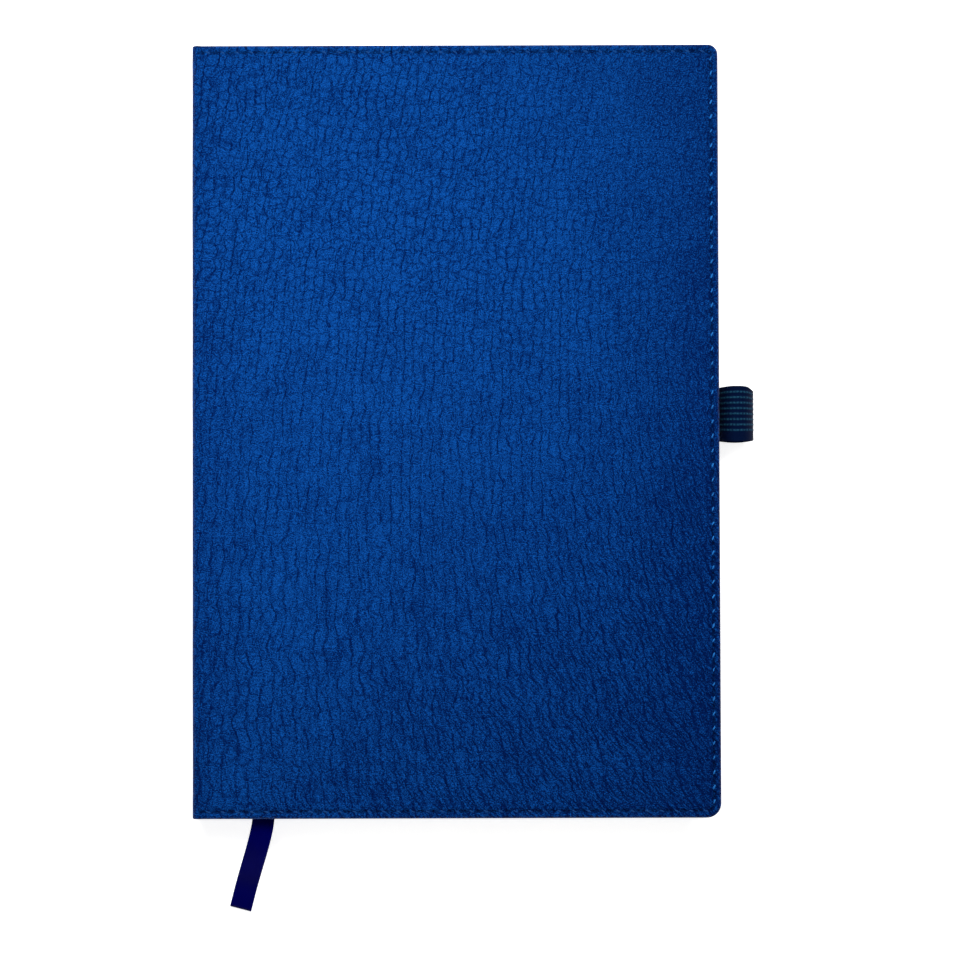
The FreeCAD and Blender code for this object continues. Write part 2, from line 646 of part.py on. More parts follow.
def route_wire(points):
    """Straight runs joined by tangent arcs, as large as the runs allow, and each arc's radius."""
    edges, radii = [], []
    start = points[0]
    for before, corner, after in zip(points, points[1:], points[2:]):
        incoming, outgoing = (before - corner), (after - corner)
        trim = ARC_SHARE * min(incoming.Length, outgoing.Length)
        half_turn = (math.pi - incoming.getAngle(outgoing)) / 2
        radii.append(trim / math.tan(half_turn))
        first = corner + incoming.normalize() * trim
        last = corner + outgoing.normalize() * trim
        towards = (incoming + outgoing).normalize()
        middle = corner + towards * (radii[-1] / math.cos(half_turn) - radii[-1])
        edges.append(Part.LineSegment(start, first).toShape())
        edges.append(Part.Arc(first, middle, last).toShape())
        start = last
    edges.append(Part.LineSegment(start, points[-1]).toShape())
    return edges, radii


def ribbon_section(point, direction):
    """The ribbon's rectangle across its route, level from side to side."""
    side = direction.cross(FreeCAD.Vector(0, 0, 1)).normalize()
    upward = side.cross(direction).normalize()
    half_width = side * (value("Sizes.ribbon_width") / 2)
    half_thickness = upward * (value("Sizes.ribbon_thickness") / 2)
    corners = [point + half_width * a + half_thickness * b
               for a, b in ((-1, -1), (1, -1), (1, 1), (-1, 1))]
    return Part.makePolygon(corners + corners[:1])


def ribbon_marker():
    """A flat strip along the route, lofted straight from one cross-section to the next."""
    points = [FreeCAD.Vector(*point) for point in RIBBON_ROUTE]
    edges, radii = route_wire(points)
    sections = []
    for edge in edges:
        steps = ARC_STEPS if isinstance(edge.Curve, Part.Circle) else 1
        for step in range(steps):
            parameter = edge.FirstParameter
            parameter += (edge.LastParameter - edge.FirstParameter) * step / steps
            sections.append(ribbon_section(edge.valueAt(parameter), edge.tangentAt(parameter)))
    last = edges[-1]
    end = last.LastParameter
    sections.append(ribbon_section(last.valueAt(end), last.tangentAt(end)))

    piece = doc.addObject("Part::Feature", "ribbon_marker")
    piece.Label = "ribbon_marker"
    piece.Shape = Part.makeLoft(sections, True, True)
    piece.Placement = FreeCAD.Placement()

    length = sum(edge.Length for edge in edges)
    expected = length * value("Sizes.ribbon_width") * value("Sizes.ribbon_thickness")
    print("ribbon length", round(length, 1), "radii", [round(radius, 1) for radius in radii])
    print("ribbon volume", round(piece.Shape.Volume, 2), "expected", round(expected, 2))
    return piece


pieces = front_cover + back_cover + spine + leaves + loop + [ribbon_marker()]

# ---------------------------------------------------------------- check and write
doc.recompute()
for item in doc.Objects:
    if "Invalid" in item.State or "Error" in item.State:
        raise RuntimeError(f"{item.Label}: {item.State}")
for piece in pieces:
    if piece.Shape.isNull() or not piece.Shape.isValid() or not piece.Shape.Solids:
        raise RuntimeError(f"{piece.Label}: no valid solid")

os.makedirs("parts", exist_ok=True)
for piece in pieces:
    piece.Shape.exportStep(os.path.join("parts", piece.Label + ".step"))
print(len(pieces), "pieces, book thickness", round(value(BOOK), 3))
for meaning, expression in (("crease", CREASE), ("panel start", PANEL_START), ("tab low", TAB_Z),
                            ("loop x", LOOP_X), ("loop z", LOOP_Z)):
    print(meaning, round(value(expression), 4))
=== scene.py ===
# %% [markdown]
# # A pilot's logbook
# The book was designed first: its covers, leaves, pen loop and ribbon are loaded here as a
# fixed frame. Each step below makes one thing that the eye meets, such as the leather, the stitches or the
# leaves; the stitches, sections, folds, bands and ribbon are fastened to the part of the frame that they move
# with.
# All sizes are in metres, so a small helper value, MM, keeps the numbers readable.

# %% Load the frame
import bmesh
import bpy
import math
from mathutils import Matrix, Vector, noise


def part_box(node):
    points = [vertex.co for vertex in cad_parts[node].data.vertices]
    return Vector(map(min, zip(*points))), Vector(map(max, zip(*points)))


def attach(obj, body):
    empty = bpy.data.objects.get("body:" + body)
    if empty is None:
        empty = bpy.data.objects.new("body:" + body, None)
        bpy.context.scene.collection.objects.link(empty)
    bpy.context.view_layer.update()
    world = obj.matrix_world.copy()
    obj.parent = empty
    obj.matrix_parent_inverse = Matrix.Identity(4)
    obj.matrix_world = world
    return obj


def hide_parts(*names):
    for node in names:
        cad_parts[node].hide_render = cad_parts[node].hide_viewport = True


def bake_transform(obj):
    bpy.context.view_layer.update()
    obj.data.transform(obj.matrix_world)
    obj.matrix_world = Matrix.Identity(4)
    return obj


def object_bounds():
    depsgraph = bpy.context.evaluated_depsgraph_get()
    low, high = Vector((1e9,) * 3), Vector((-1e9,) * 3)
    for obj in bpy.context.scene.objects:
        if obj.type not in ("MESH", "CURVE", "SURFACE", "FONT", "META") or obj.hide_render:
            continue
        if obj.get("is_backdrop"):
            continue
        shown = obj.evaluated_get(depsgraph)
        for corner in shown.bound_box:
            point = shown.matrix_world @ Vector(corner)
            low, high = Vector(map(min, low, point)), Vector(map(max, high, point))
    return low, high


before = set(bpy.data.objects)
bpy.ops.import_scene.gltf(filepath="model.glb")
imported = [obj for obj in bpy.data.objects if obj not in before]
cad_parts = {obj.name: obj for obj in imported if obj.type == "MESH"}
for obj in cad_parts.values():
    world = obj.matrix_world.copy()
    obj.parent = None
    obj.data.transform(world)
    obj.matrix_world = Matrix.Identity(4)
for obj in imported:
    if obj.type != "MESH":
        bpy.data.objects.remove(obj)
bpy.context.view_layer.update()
MM = 0.001


def show(name, data):
    """A new object in the scene, unmoved and unturned."""
    thing = bpy.data.objects.new(name, data)
    bpy.context.scene.collection.objects.link(thing)
    return thing


# %% [markdown]
# ## Camera
# The book is seen straight from above. A long lens a metre away keeps the edges parallel, and a tilt of two
# degrees is enough to make the tail look slightly wider than the head. The camera could be turned with a
# Track To constraint, but working out its rotation once leaves nothing in the file that could move later.

# %% Camera
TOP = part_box("front_cover_leather")[1].z
AIM = Vector((6.5 * MM, -13.5 * MM, TOP))
DISTANCE, TILT, ROLL_RIGHT = 1.0, math.radians(2.0), math.radians(-0.17)
LENS, SENSOR, NEAREST = 138.4, 36.0, 0.01
eye = AIM + DISTANCE * Vector((0, -math.sin(TILT), math.cos(TILT)))
camera = show("camera", bpy.data.cameras.new("camera"))
camera.location = eye
facing = (AIM - eye).to_track_quat("-Z", "Y").to_matrix() @ Matrix.Rotation(ROLL_RIGHT, 3, "Z")
camera.rotation_euler = facing.to_euler()
camera.data.lens = LENS
camera.data.sensor_width = SENSOR
camera.data.clip_start = NEAREST
bpy.context.scene.camera = camera
print("camera at", tuple(round(v, 3) for v in eye))

# %% [markdown]
# ## Floor and light
# The floor is a plain white sheet, a hair below the book so that the back cover doesn't sink into it. The
# light is a pale sky all round, one soft lamp close above the upper left of the cover, whose nearness makes
# that part the brightest, and a key lamp from the upper right, which shades the rolled edges. Lamps give a
# real fall-off of light over the leather, and painted shade in its colour adds darker strips beside the spine
# and towards the fore-edge.

# %% Floor and light
SKY = 0.22
FLOOR_HALF, FLOOR_LEVEL = 3.0, -0.2 * MM
bpy.context.scene.view_settings.view_transform = "Standard"
world = bpy.data.worlds.new("studio")
bpy.context.scene.world = world
world.use_nodes = True
world.node_tree.nodes["Background"].inputs["Color"].default_value = (1.0, 1.0, 1.0, 1.0)
world.node_tree.nodes["Background"].inputs["Strength"].default_value = SKY

floor_mesh = bpy.data.meshes.new("floor")
corners = [(x * FLOOR_HALF, y * FLOOR_HALF, FLOOR_LEVEL) for x, y in ((-1, -1), (1, -1), (1, 1), (-1, 1))]
floor_mesh.from_pydata(corners, [], [(0, 1, 2, 3)])
floor = show("floor", floor_mesh)
floor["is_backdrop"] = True


def lamp(name, place, size, power):
    """A square soft lamp at a place, facing the middle of the book and unseen by the camera."""
    light = show(name, bpy.data.lights.new(name, "AREA"))
    light.data.size = size
    light.data.energy = power
    light.location = place
    light.rotation_euler = (Vector((0, 0, 0)) - Vector(place)).to_track_quat("-Z", "Y").to_euler()
    light.visible_camera = False


lamp("softbox_above", (-0.060, 0.070, 0.265), size=0.16, power=0.70)
lamp("key_from_upper_right", (0.42, 0.50, 0.95), size=0.30, power=5.2)

# %% [markdown]
# ## Writing materials as sums
# A material is a graph of small nodes. Dragging dozens of them by hand is slow to change, so this helper
# lets plain Python expressions such as `1 - crease * 0.4` build the Math nodes. A Value wraps one number
# socket; a Finish is one material, and its `add` makes any other node from its type, its settings and the
# values or links of its sockets. The first material is the floor's: it glows a little, so that it stays white.

# %% A small language for materials
class Value:
    """A number socket in a material that can be used in ordinary sums."""

    def __init__(self, finish, socket):
        self.finish, self.socket = finish, socket

    def maths(self, operation, *others, clamp=False):
        node = self.finish.add("ShaderNodeMath", {"operation": operation, "use_clamp": clamp},
                               dict(enumerate((self, *others))))
        return Value(self.finish, node.outputs[0])

    def __add__(self, other):
        return self.maths("ADD", other)

    __radd__ = __add__

    def __sub__(self, other):
        return self.maths("SUBTRACT", other)

    def __rsub__(self, other):
        return (self * -1) + other

    def __mul__(self, other):
        return self.maths("MULTIPLY", other)

    __rmul__ = __mul__

    def __truediv__(self, other):
        return self.maths("DIVIDE", other)

    def clamped(self):
        return self.maths("ADD", 0.0, clamp=True)

    def between(self, low, high):
        """0 below low, 1 above high, and a soft step from one to the other."""
        node = self.finish.add("ShaderNodeMapRange", {"interpolation_type": "SMOOTHSTEP"},
                               {"Value": self, "From Min": low, "From Max": high})
        return Value(self.finish, node.outputs["Result"])


class Finish:
    """One procedural material for a named slot of the record."""
    # One named procedural material.

    def __init__(self, name, **shader):
        self.material = bpy.data.materials.new(name)
        self.material.use_nodes = True
        self.tree = self.material.node_tree
        self.tree.nodes.clear()
        self.shader = self.add("ShaderNodeBsdfPrincipled", {}, shader)
        output = self.add("ShaderNodeOutputMaterial", {}, {})
        self.tree.links.new(self.shader.outputs["BSDF"], output.inputs["Surface"])

    def add(self, kind, settings, sockets):
        node = self.tree.nodes.new(kind)
        for key, setting in settings.items():
            setattr(node, key, setting)
        for key, value in sockets.items():
            self.put(node.inputs[key], value)
        return node

    def put(self, socket, value):
        if isinstance(value, Value):
            value = value.socket
        if isinstance(value, bpy.types.NodeSocket):
            self.tree.links.new(value, socket)
        else:
            socket.default_value = value

    def feed(self, name, value):
        self.put(self.shader.inputs[name], value)

    def place(self, mark=None):
        """Three values in millimetres: where the surface is, or where it lay when a mark was stored on it."""
        if mark:
            spot = self.add("ShaderNodeAttribute", {"attribute_name": mark}, {}).outputs["Vector"]
        else:
            spot = self.add("ShaderNodeTexCoord", {}, {}).outputs["Object"]
        parts = self.add("ShaderNodeSeparateXYZ", {}, {0: spot})
        return [Value(self, parts.outputs[i]) * (1 if mark else 1000) for i in range(3)]

    def point(self, x, y, z):
        return self.add("ShaderNodeCombineXYZ", {}, {0: x, 1: y, 2: z}).outputs[0]

    def noise(self, spot, scale=1.0, detail=2.0, rough=0.5):
        """A soft random height, from 0 to 1."""
        node = self.add("ShaderNodeTexNoise", {},
                        {"Vector": spot, "Scale": scale, "Detail": detail, "Roughness": rough})
        return Value(self, node.outputs[0])

    def cells(self, spot, jitter):
        """How far a spot is from the border of its cell; a low jitter lines the cells up."""
        node = self.add("ShaderNodeTexVoronoi", {"feature": "DISTANCE_TO_EDGE"},
                        {"Vector": spot, "Scale": 1.0, "Randomness": jitter})
        return Value(self, node.outputs["Distance"])

    def blend(self, amount, first, second):
        """A colour between two colours."""
        node = self.add("ShaderNodeMix", {"data_type": "RGBA"}, {0: amount, 6: first, 7: second})
        return node.outputs[2]

    def mark(self, name):
        """A number that was stored on the mesh."""
        node = self.add("ShaderNodeAttribute", {"attribute_name": name}, {})
        return Value(self, node.outputs["Fac"])

    def relief(self, height, millimetres=1.0):
        """Bump from a height that is given in millimetres."""
        node = self.add("ShaderNodeBump", {}, {"Height": height, "Distance": millimetres * MM, "Strength": 1.0})
        self.feed("Normal", node.outputs["Normal"])


def colour(red, green, blue):
    return (red, green, blue, 1.0)


FLOOR_GLOW = 0.78
floor_finish = Finish("floor_white", **{"Roughness": 0.95, "Emission Color": colour(1, 1, 1),
                                        "Emission Strength": FLOOR_GLOW})
floor_x, floor_y, _ = floor_finish.place()
sheet_grain = floor_finish.noise(floor_finish.point(floor_x, floor_y, 0.0), 0.02, 2.0)
floor_grey, floor_white = colour(0.90, 0.90, 0.90), colour(0.92, 0.92, 0.92)
floor_finish.feed("Base Color", floor_finish.blend(sheet_grain, floor_grey, floor_white))
floor.data.materials.append(floor_finish.material)
print("floor nodes:", len(floor_finish.tree.nodes))

# %% [markdown]
# ## How the grain of the leather lies
# The case is covered in soft blue hide whose grain isn't the same all over: its creases lean to the right at
# the head and to the left at the tail. The patterns below are read from a place that is bent first, so that
# they lean and sway as the hide does. The place is stored on the sheet before it is rolled round the spine,
# so the grain stays on the hide however the sheet is shaped.

# %% The lie of the hide
class Lie:
    """Where each spot of the hide lies in its grain, and how much it belongs to each region of the cover."""

    def __init__(self, hide):
        self.x, self.y, self.z = x, y, z = hide.place("hide")
        lean = y * 0.01 + y * y * 0.0009 - x * 0.0014 * (y - y * y * 0.005)
        self.across = across = x - lean
        self.spot = hide.point(across, y, z)
        slow = hide.noise(self.spot, 0.11, 2.0)
        self.quick = hide.noise(hide.point(y + 40, across, z), 0.40, 2.0)
        self.sway = (slow - 0.5) * 5.0 + (self.quick - 0.5) * 1.0
        self.low_down = (y * -1.0).between(-60.0, 80.0)
        self.right_low = (x - y * 0.9).between(-10.0, 110.0)
        self.right_high = (x + y * 0.5).between(35.0, 105.0)


# %% [markdown]
# ## Creases and pebbles
# Three things make the grain. Chains of upright creases run the length of the cover, broken here and there:
# a saw-tooth of the place across the hide gives lines at an even pitch. A net of pebbles fills the space
# between them: a Voronoi texture gives its borders, and a longer net takes over towards the tail. Two sets of
# slanting lines cross at the lower right, where the hide is drawn out. A picture of leather would be quicker,
# but it would blur close up and show where it repeats.

# %% Creases and pebbles
CREASE_PITCH = 2.7
HATCH_PITCH, STEEP_PITCH = 1.45, 1.8


def furrow(value, pitch, narrow, wide):
    """0 along lines one pitch apart, 1 between them."""
    return ((value / pitch).maths("FRACT") - 0.5).maths("ABSOLUTE").between(narrow, wide)


def creases(hide, lie):
    """1 on the hide, 0 in the long upright creases."""
    broken = hide.noise(hide.point(lie.across * 0.30, lie.y * 0.13, lie.z), 1.0, 2.0)
    lines = furrow(lie.across + lie.sway, CREASE_PITCH, -0.02, 0.13)
    return 1 - (1 - lines) * broken.between(0.30, 0.50)


def pebbles(hide, lie):
    """1 on the pebbles, 0 in the net between them; the net grows longer towards the tail."""
    across = lie.across + lie.sway
    net = hide.cells(hide.point(across * 0.39, lie.y * 0.36 + lie.quick * 0.4, lie.z * 0.5), jitter=0.80)
    long_spot = hide.point(across * 0.42 + 7, lie.y * 0.17 + lie.quick * 0.4, lie.z * 0.5)
    long_net = hide.cells(long_spot, jitter=0.82)
    return net.between(0.0, 0.14) * (1 - lie.low_down) + long_net.between(0.0, 0.15) * lie.low_down


def crossed_lines(hide, lie):
    """1 on the hide, 0 in the slanting lines that cross at the lower right."""
    breaks = hide.noise(hide.point(lie.across * 0.5, lie.y * 0.30, lie.z + 5), 1.0, 2.0)
    hatch = furrow(lie.across + lie.y * 0.55 + lie.sway * 0.7, HATCH_PITCH, 0.0, 0.20)
    steep = furrow(lie.across + lie.y * 0.08 + lie.sway * 1.3, STEEP_PITCH, 0.0, 0.18)
    return 1 - (1 - hatch * steep) * lie.right_low * breaks.between(0.30, 0.56)


# %% [markdown]
# ## Leather
# The height of the grain is the sum of these and a finer Voronoi for the small wrinkles. One height does two
# jobs: it raises the bump, and it darkens the colour in the creases, partly as deeper dye and partly as painted
# shade where light reaches less. Fine noise on top of it gives the pores. Painted shade makes the leather a
# little darker beside the spine and towards the fore-edge, and the needle holes and the stitch valley get
# darker painted shade still, from a number that is stored on the sheet.

# %% Leather finish
DEEP_DYE_AND_SHADE, DYE_BRIGHT = colour(0.0002, 0.0060, 0.060), colour(0.0034, 0.0780, 0.360)
HOLE_SHADE = colour(0.0003, 0.002, 0.016)
GRAIN_DEPTH = 0.36


def grain_height(hide, lie, pebble):
    small_spot = hide.point((lie.across + lie.sway * 0.5) * 1.05, lie.y * 0.85 + lie.quick, lie.z * 1.1)
    small = hide.cells(small_spot, jitter=1.0)
    bars = hide.noise(hide.point(lie.across * 0.45, lie.y * 1.25, lie.z), 1.0, 2.0, 0.6)
    crease_share = 0.40 - lie.right_high * 0.22
    pebble_share = 0.33 - lie.low_down * 0.06 - lie.right_low * 0.10 - lie.right_high * 0.16
    wrinkle_share = 0.18 + lie.right_high * 0.10
    return (creases(hide, lie) * crease_share + pebble * pebble_share
            + small.between(-0.05, 0.30) * wrinkle_share + lie.right_high * 0.22
            + (bars - 0.5) * 0.35 * (1 - lie.low_down) + crossed_lines(hide, lie) * 0.42)


def leather_finish():
    hide = Finish("blue_leather", **{"Specular IOR Level": 0.18, "Specular Tint": colour(0.03, 0.22, 0.9)})
    lie = Lie(hide)
    speck = hide.noise(lie.spot, 1.5, 3.0, 0.85)
    pores = hide.noise(lie.spot, 3.4, 1.0)
    mottle = hide.noise(lie.spot, 0.06, 3.0)
    pebble = pebbles(hide, lie)
    height = grain_height(hide, lie, pebble)
    # Painted shade: the leather is darker beside the spine and towards the fore-edge.
    edge_shade = lie.x.between(-73.0, -54.0) * 0.13 - 0.13 - lie.x.between(35.0, 74.0) * 0.16
    # The colour darkens with the grain height in the creases: partly deeper dye, partly painted shade.
    tone = (height * 0.92 + (speck - 0.5) * 2.1 + (pores - 0.5) * 2.6 + (mottle - 0.5) * 0.3
            + edge_shade - 0.60).clamped()
    dyed = hide.blend(tone, DEEP_DYE_AND_SHADE, DYE_BRIGHT)
    # Painted shade in the needle holes and along the stitch valley, from the stored number "pressed".
    hide.feed("Base Color", hide.blend((hide.mark("pressed") * 0.85).clamped(), dyed, HOLE_SHADE))
    hide.feed("Roughness", 0.66 - pebble * 0.12 + (mottle - 0.5) * 0.1)
    hide.relief(height + (speck - 0.5) * 0.6, GRAIN_DEPTH)
    return hide.material


LEATHER = leather_finish()
print("leather nodes:", len(LEATHER.node_tree.nodes))

# %% [markdown]
# ## One sheet of leather for each cover
# The hide is one sheet that goes round the board: over the top face, round the edges, and about 12 mm in
# under the endpaper. At the spine it rolls round the hinge and down to the middle of the back. It could be
# a box with a Bevel modifier, but a box has no turned-in edge and tears at the hinge. So the sheet is
# worked out flat, and one function, `settle`, rolls it round the spine.

# %% Measures of the case
HALF_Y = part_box("front_cover_leather")[1].y / MM
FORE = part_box("front_cover_leather")[1].x / MM
HIGH = TOP / MM
ROLL = 1.425
HINGE_X, HINGE_Z = -70.075, HIGH - ROLL
ARC = ROLL * math.pi / 2
SPINE_U = HINGE_X - ARC - (HINGE_Z - HIGH / 2)
BOARD, SKIN = 2.7, 0.45
THIN, SPINE_EXTRA = 1.0, 0.9
CORNER = {"tail": 3.9, "head": 2.7}
TURN_IN = 12.05


def soft_step(a, b, v):
    t = min(1.0, max(0.0, (v - a) / (b - a)))
    return t * t * (3 - 2 * t)


def case_depth(u):
    """How thick the folded case is at a place across the cover, in millimetres."""
    if u > HINGE_X:
        return THIN + (BOARD - THIN) * soft_step(HINGE_X, -68.0, u)
    return THIN + SPINE_EXTRA * soft_step(HINGE_X - ARC, HINGE_X - ARC - 1.7, u)


def settle(u, y, depth, front):
    """A place on the flat sheet, rolled round the spine, in metres."""
    if u >= HINGE_X:
        x, z = u, HIGH - depth
    elif u >= HINGE_X - ARC:
        turn = math.pi / 2 + (HINGE_X - u) / ROLL
        x = HINGE_X + (ROLL - depth) * math.cos(turn)
        z = HINGE_Z + (ROLL - depth) * math.sin(turn)
    else:
        x, z = HINGE_X - ROLL + depth, HINGE_Z - (HINGE_X - ARC - u)
    return (x * MM, y * MM, (z if front else HIGH - z) * MM)


print("cover, from hinge to fore-edge:", round(FORE - HINGE_X, 2), "mm, height:", round(2 * HALF_Y, 2), "mm")

# %% [markdown]
# ## Columns of the sheet
# The sheet is woven from rings and columns: every ring keeps one distance from the edge, and every column
# runs in from it. The columns are counted in stitches, so a needle hole always falls on one. They stand
# closer together round the corners and over the roll of the spine, where the hide bends most.

# %% Columns
STITCH_PITCH, STITCH_INSET, STITCH_START = 3.95, 1.9, -69.2
PER_STITCH = 6
KEPT_BY_COARSE = 3
CORNER_STEP, ROLL_STEP = 0.25, 0.2
STRETCH_FROM = -64.0


def spine_columns(step):
    """Columns from the first stitch back to the middle of the spine: (place, count, kept by coarse rings?)."""
    listed, u, count = [], STITCH_START, 0
    while u > SPINE_U + ROLL_STEP:
        near_roll = HINGE_X - ARC - 0.3 < u < HINGE_X + 0.5
        u -= ROLL_STEP if near_roll else step
        count += 1
        listed.append((max(u, SPINE_U), count, near_roll or count % KEPT_BY_COARSE == 0))
    listed[-1] = (SPINE_U, count, True)
    return listed


def columns():
    """All columns, from the spine at the tail, round the fore-edge, to the spine at the head.
    Each is (side, place, stitch phase, kept by the coarse rings?)."""
    run_tail, run_head = [FORE - CORNER[end] - STITCH_START for end in ("tail", "head")]
    bend_tail, bend_head = [(CORNER[end] - STITCH_INSET) * math.pi / 2 for end in ("tail", "head")]
    fore = 2 * HALF_Y - CORNER["tail"] - CORNER["head"]
    stitches = round((run_tail + bend_tail + fore + bend_head + run_head) / STITCH_PITCH)
    step = (run_tail + bend_tail + fore + bend_head + run_head) / stitches / PER_STITCH
    parts = (("tail", run_tail), ("tail_corner", bend_tail), ("fore", fore),
             ("head_corner", bend_head), ("head", run_head))
    back = spine_columns(step)
    listed = [("tail", u, -n, kept) for u, n, kept in reversed(back)]
    k = 0.0
    while k < stitches * PER_STITCH + 0.01:
        d = k * step
        for side, size in parts:
            if d <= size + 1e-6 or side == "head":
                break
            d -= size
        place = {"tail": STITCH_START + d, "tail_corner": d / bend_tail, "fore": -HALF_Y + CORNER["tail"] + d,
                 "head_corner": d / bend_head, "head": STITCH_START + run_head - d}[side]
        rounding = side.endswith("corner")
        listed.append((side, place, k, rounding or k % KEPT_BY_COARSE == 0))
        k = round(k + (CORNER_STEP if rounding else 1.0), 2)
        if not rounding:
            k = float(math.ceil(k))
    listed += [("head", u, -n, kept) for u, n, kept in back]
    return listed, stitches


def on_ring(column, inset):
    """Where a column meets the ring at this distance from the edge: u and y in millimetres."""
    side, v = column[:2]
    end = "tail" if side.startswith("tail") or (side == "fore" and v < 0) else "head"
    sign = -1 if end == "tail" else 1
    radius = max(CORNER[end] - inset, 0.4)
    middle_u, middle_y = FORE - inset - radius, HALF_Y - inset - radius
    if side == "fore":
        return FORE - inset, v * middle_y / (HALF_Y - CORNER[end])
    if side in ("tail", "head"):
        if v > STRETCH_FROM:
            full = FORE - CORNER[end] - STRETCH_FROM
            v = STRETCH_FROM + (v - STRETCH_FROM) * (middle_u - STRETCH_FROM) / full
        return v, sign * (HALF_Y - inset)
    angle = v * math.pi / 2
    if side == "tail_corner":
        return middle_u + radius * math.sin(angle), -middle_y - radius * math.cos(angle)
    return middle_u + radius * math.cos(angle), middle_y + radius * math.sin(angle)


COLUMNS, STITCHES = columns()
print("columns:", len(COLUMNS), "stitches round a cover:", STITCHES)

# %% [markdown]
# ## Rings and needle holes
# The rings lie close together along the stitches, because there the thread pulls the hide into a shallow
# valley with a deeper hole at every needle mark. A texture could darken the holes, but they'd have no depth
# at the edge of the cover, where they are seen from the side. How much painted shade darkens each hole and the
# valley is stored with it.

# %% Rings and needle holes
VALLEY_DEPTH, HOLE_DEPTH = 0.16, 0.34
VALLEY_WIDTH, HOLE_WIDTH = 0.75, 0.36
EDGE_ROLL, TUCK_ROLL = 0.95, 0.7
INNERMOST = 6.0
STITCHED_RINGS = (3.2, 2.8, 2.5, 2.25, 2.05, 1.9, 1.75, 1.55, 1.3, 1.1)
TUCKED_RINGS = (1.1, 1.45, 1.7, 1.9, 2.1, 2.4, 3.2)


def press(column, inset):
    """How deep the hide is pulled in beside the stitches, in millimetres, and how much painted shade darkens
    the valley and the needle hole.
    """
    side, v, k = column[:3]
    beside_spine = side in ("tail", "head") and v > HINGE_X - ARC - 0.2
    calm = soft_step(HINGE_X - 0.5, STITCH_START, v) if beside_spine else 1.0
    off = inset - STITCH_INSET
    valley = math.exp(-((off / VALLEY_WIDTH) ** 2))
    hole = 0.5 + 0.5 * math.cos(2 * math.pi * (k % PER_STITCH) / PER_STITCH)
    pin = hole ** 0.8 * math.exp(-((off / HOLE_WIDTH) ** 2))
    wobble = 0.03 * noise.noise((k * 0.37, inset, 3.0))
    depth = VALLEY_DEPTH * valley + HOLE_DEPTH * pin + wobble * valley
    # The second number is the painted shade of the valley and the needle hole.
    return depth * calm, (0.12 * valley + pin) * calm


def rolled_edge(turn):
    """The ring part of the way round the outer roll of the edge, as (inset, depth) for a case depth."""
    return lambda t: (min(EDGE_ROLL, t / 2) * (1 - math.sin(turn)),
                      min(EDGE_ROLL, t / 2) * (1 - math.cos(turn)))


def tucked_edge(turn):
    """The same on the inner side of the board."""
    return lambda t: (min(TUCK_ROLL, t / 2) * (1 - math.cos(turn)),
                      t - min(TUCK_ROLL, t / 2) * (1 - math.sin(turn)))


def sheet_profile():
    """Rings from the top face round to the turn-in: (inset, depth for a case depth, fine?)."""
    rings = [(inset, lambda t: 0.0, False) for inset in (INNERMOST, 4.2)]
    rings += [(inset, lambda t: 0.0, True) for inset in STITCHED_RINGS]
    rings += [("round", rolled_edge(n / 5 * math.pi / 2), True) for n in range(6)]
    rings += [("round", tucked_edge(n / 4 * math.pi / 2), True) for n in range(5)]
    rings += [(inset, lambda t: t, True) for inset in TUCKED_RINGS]
    rings += [(inset, lambda t: t, False) for inset in (4.6, TURN_IN)]
    rings += [(inset, lambda t: t - SKIN, False) for inset in (TURN_IN, 1.2)]
    rings.append(("round", lambda t: (SKIN + 0.05, max(t - 0.8, t / 2)), False))
    rings.append(("round", lambda t: (SKIN + 0.05, min(0.8, t / 2)), False))
    rings += [(inset, lambda t: SKIN, False) for inset in (1.2, INNERMOST)]
    return rings


print("rings:", len(sheet_profile()))

# %% [markdown]
# ## Pieces from points and faces
# Several pieces are woven point by point, so these helpers turn points and faces into a finished object.
# Faces have to point outwards. Recalculating normals in Edit Mode would do it too, but the signed volume of
# the closed shape says at once whether they are all inside out.

# %% Helpers for woven pieces
def turned_out(verts, faces):
    """The same faces, turned over if they point into the closed shape."""
    volume = 0.0
    for f in faces:
        a = Vector(verts[f[0]])
        for m, n in zip(f[1:], f[2:]):
            volume += a.dot(Vector(verts[m]).cross(Vector(verts[n])))
    return faces if volume > 0 else [f[::-1] for f in faces]


def mesh_piece(name, verts, faces, material, marks=None, smooth=True, lay=None):
    """A finished mesh object at the origin, with smooth shading, stored numbers and stored places."""
    mesh = bpy.data.meshes.new(name)
    mesh.from_pydata(verts, [], turned_out(verts, faces))
    mesh.validate()
    for key, numbers in (marks or {}).items():
        mesh.attributes.new(key, "FLOAT", "POINT").data.foreach_set("value", numbers)
    for key, places in (lay or {}).items():
        flat = [number for place in places for number in place]
        mesh.attributes.new(key, "FLOAT_VECTOR", "POINT").data.foreach_set("vector", flat)
    mesh.polygons.foreach_set("use_smooth", [smooth] * len(mesh.polygons))
    mesh.materials.append(material)
    return show(name, mesh)


def sharpen(piece, degrees):
    """Edges that turn by more than this stay crisp."""
    piece.data.set_sharp_from_angle(angle=math.radians(degrees))


def fasten(piece, body, slot, *nodes):
    """The piece rides on a body and hides the CAD nodes that it stands for. The slot is not used."""
    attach(piece, body)
    if nodes:
        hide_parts(*nodes)


# %% [markdown]
# ## Weaving the leather
# The rings are joined to each other first. A coarse ring has fewer points, so its neighbour's extra points
# go into wider faces. Then the flat middle is filled with a grid, outside and inside, and the edge that
# meets the other cover at the spine is closed. A subdivided plane would be simpler, but it couldn't be
# this fine at the stitches and this coarse in the middle.

# %% Weaving the leather
UNDER_FACE = 300


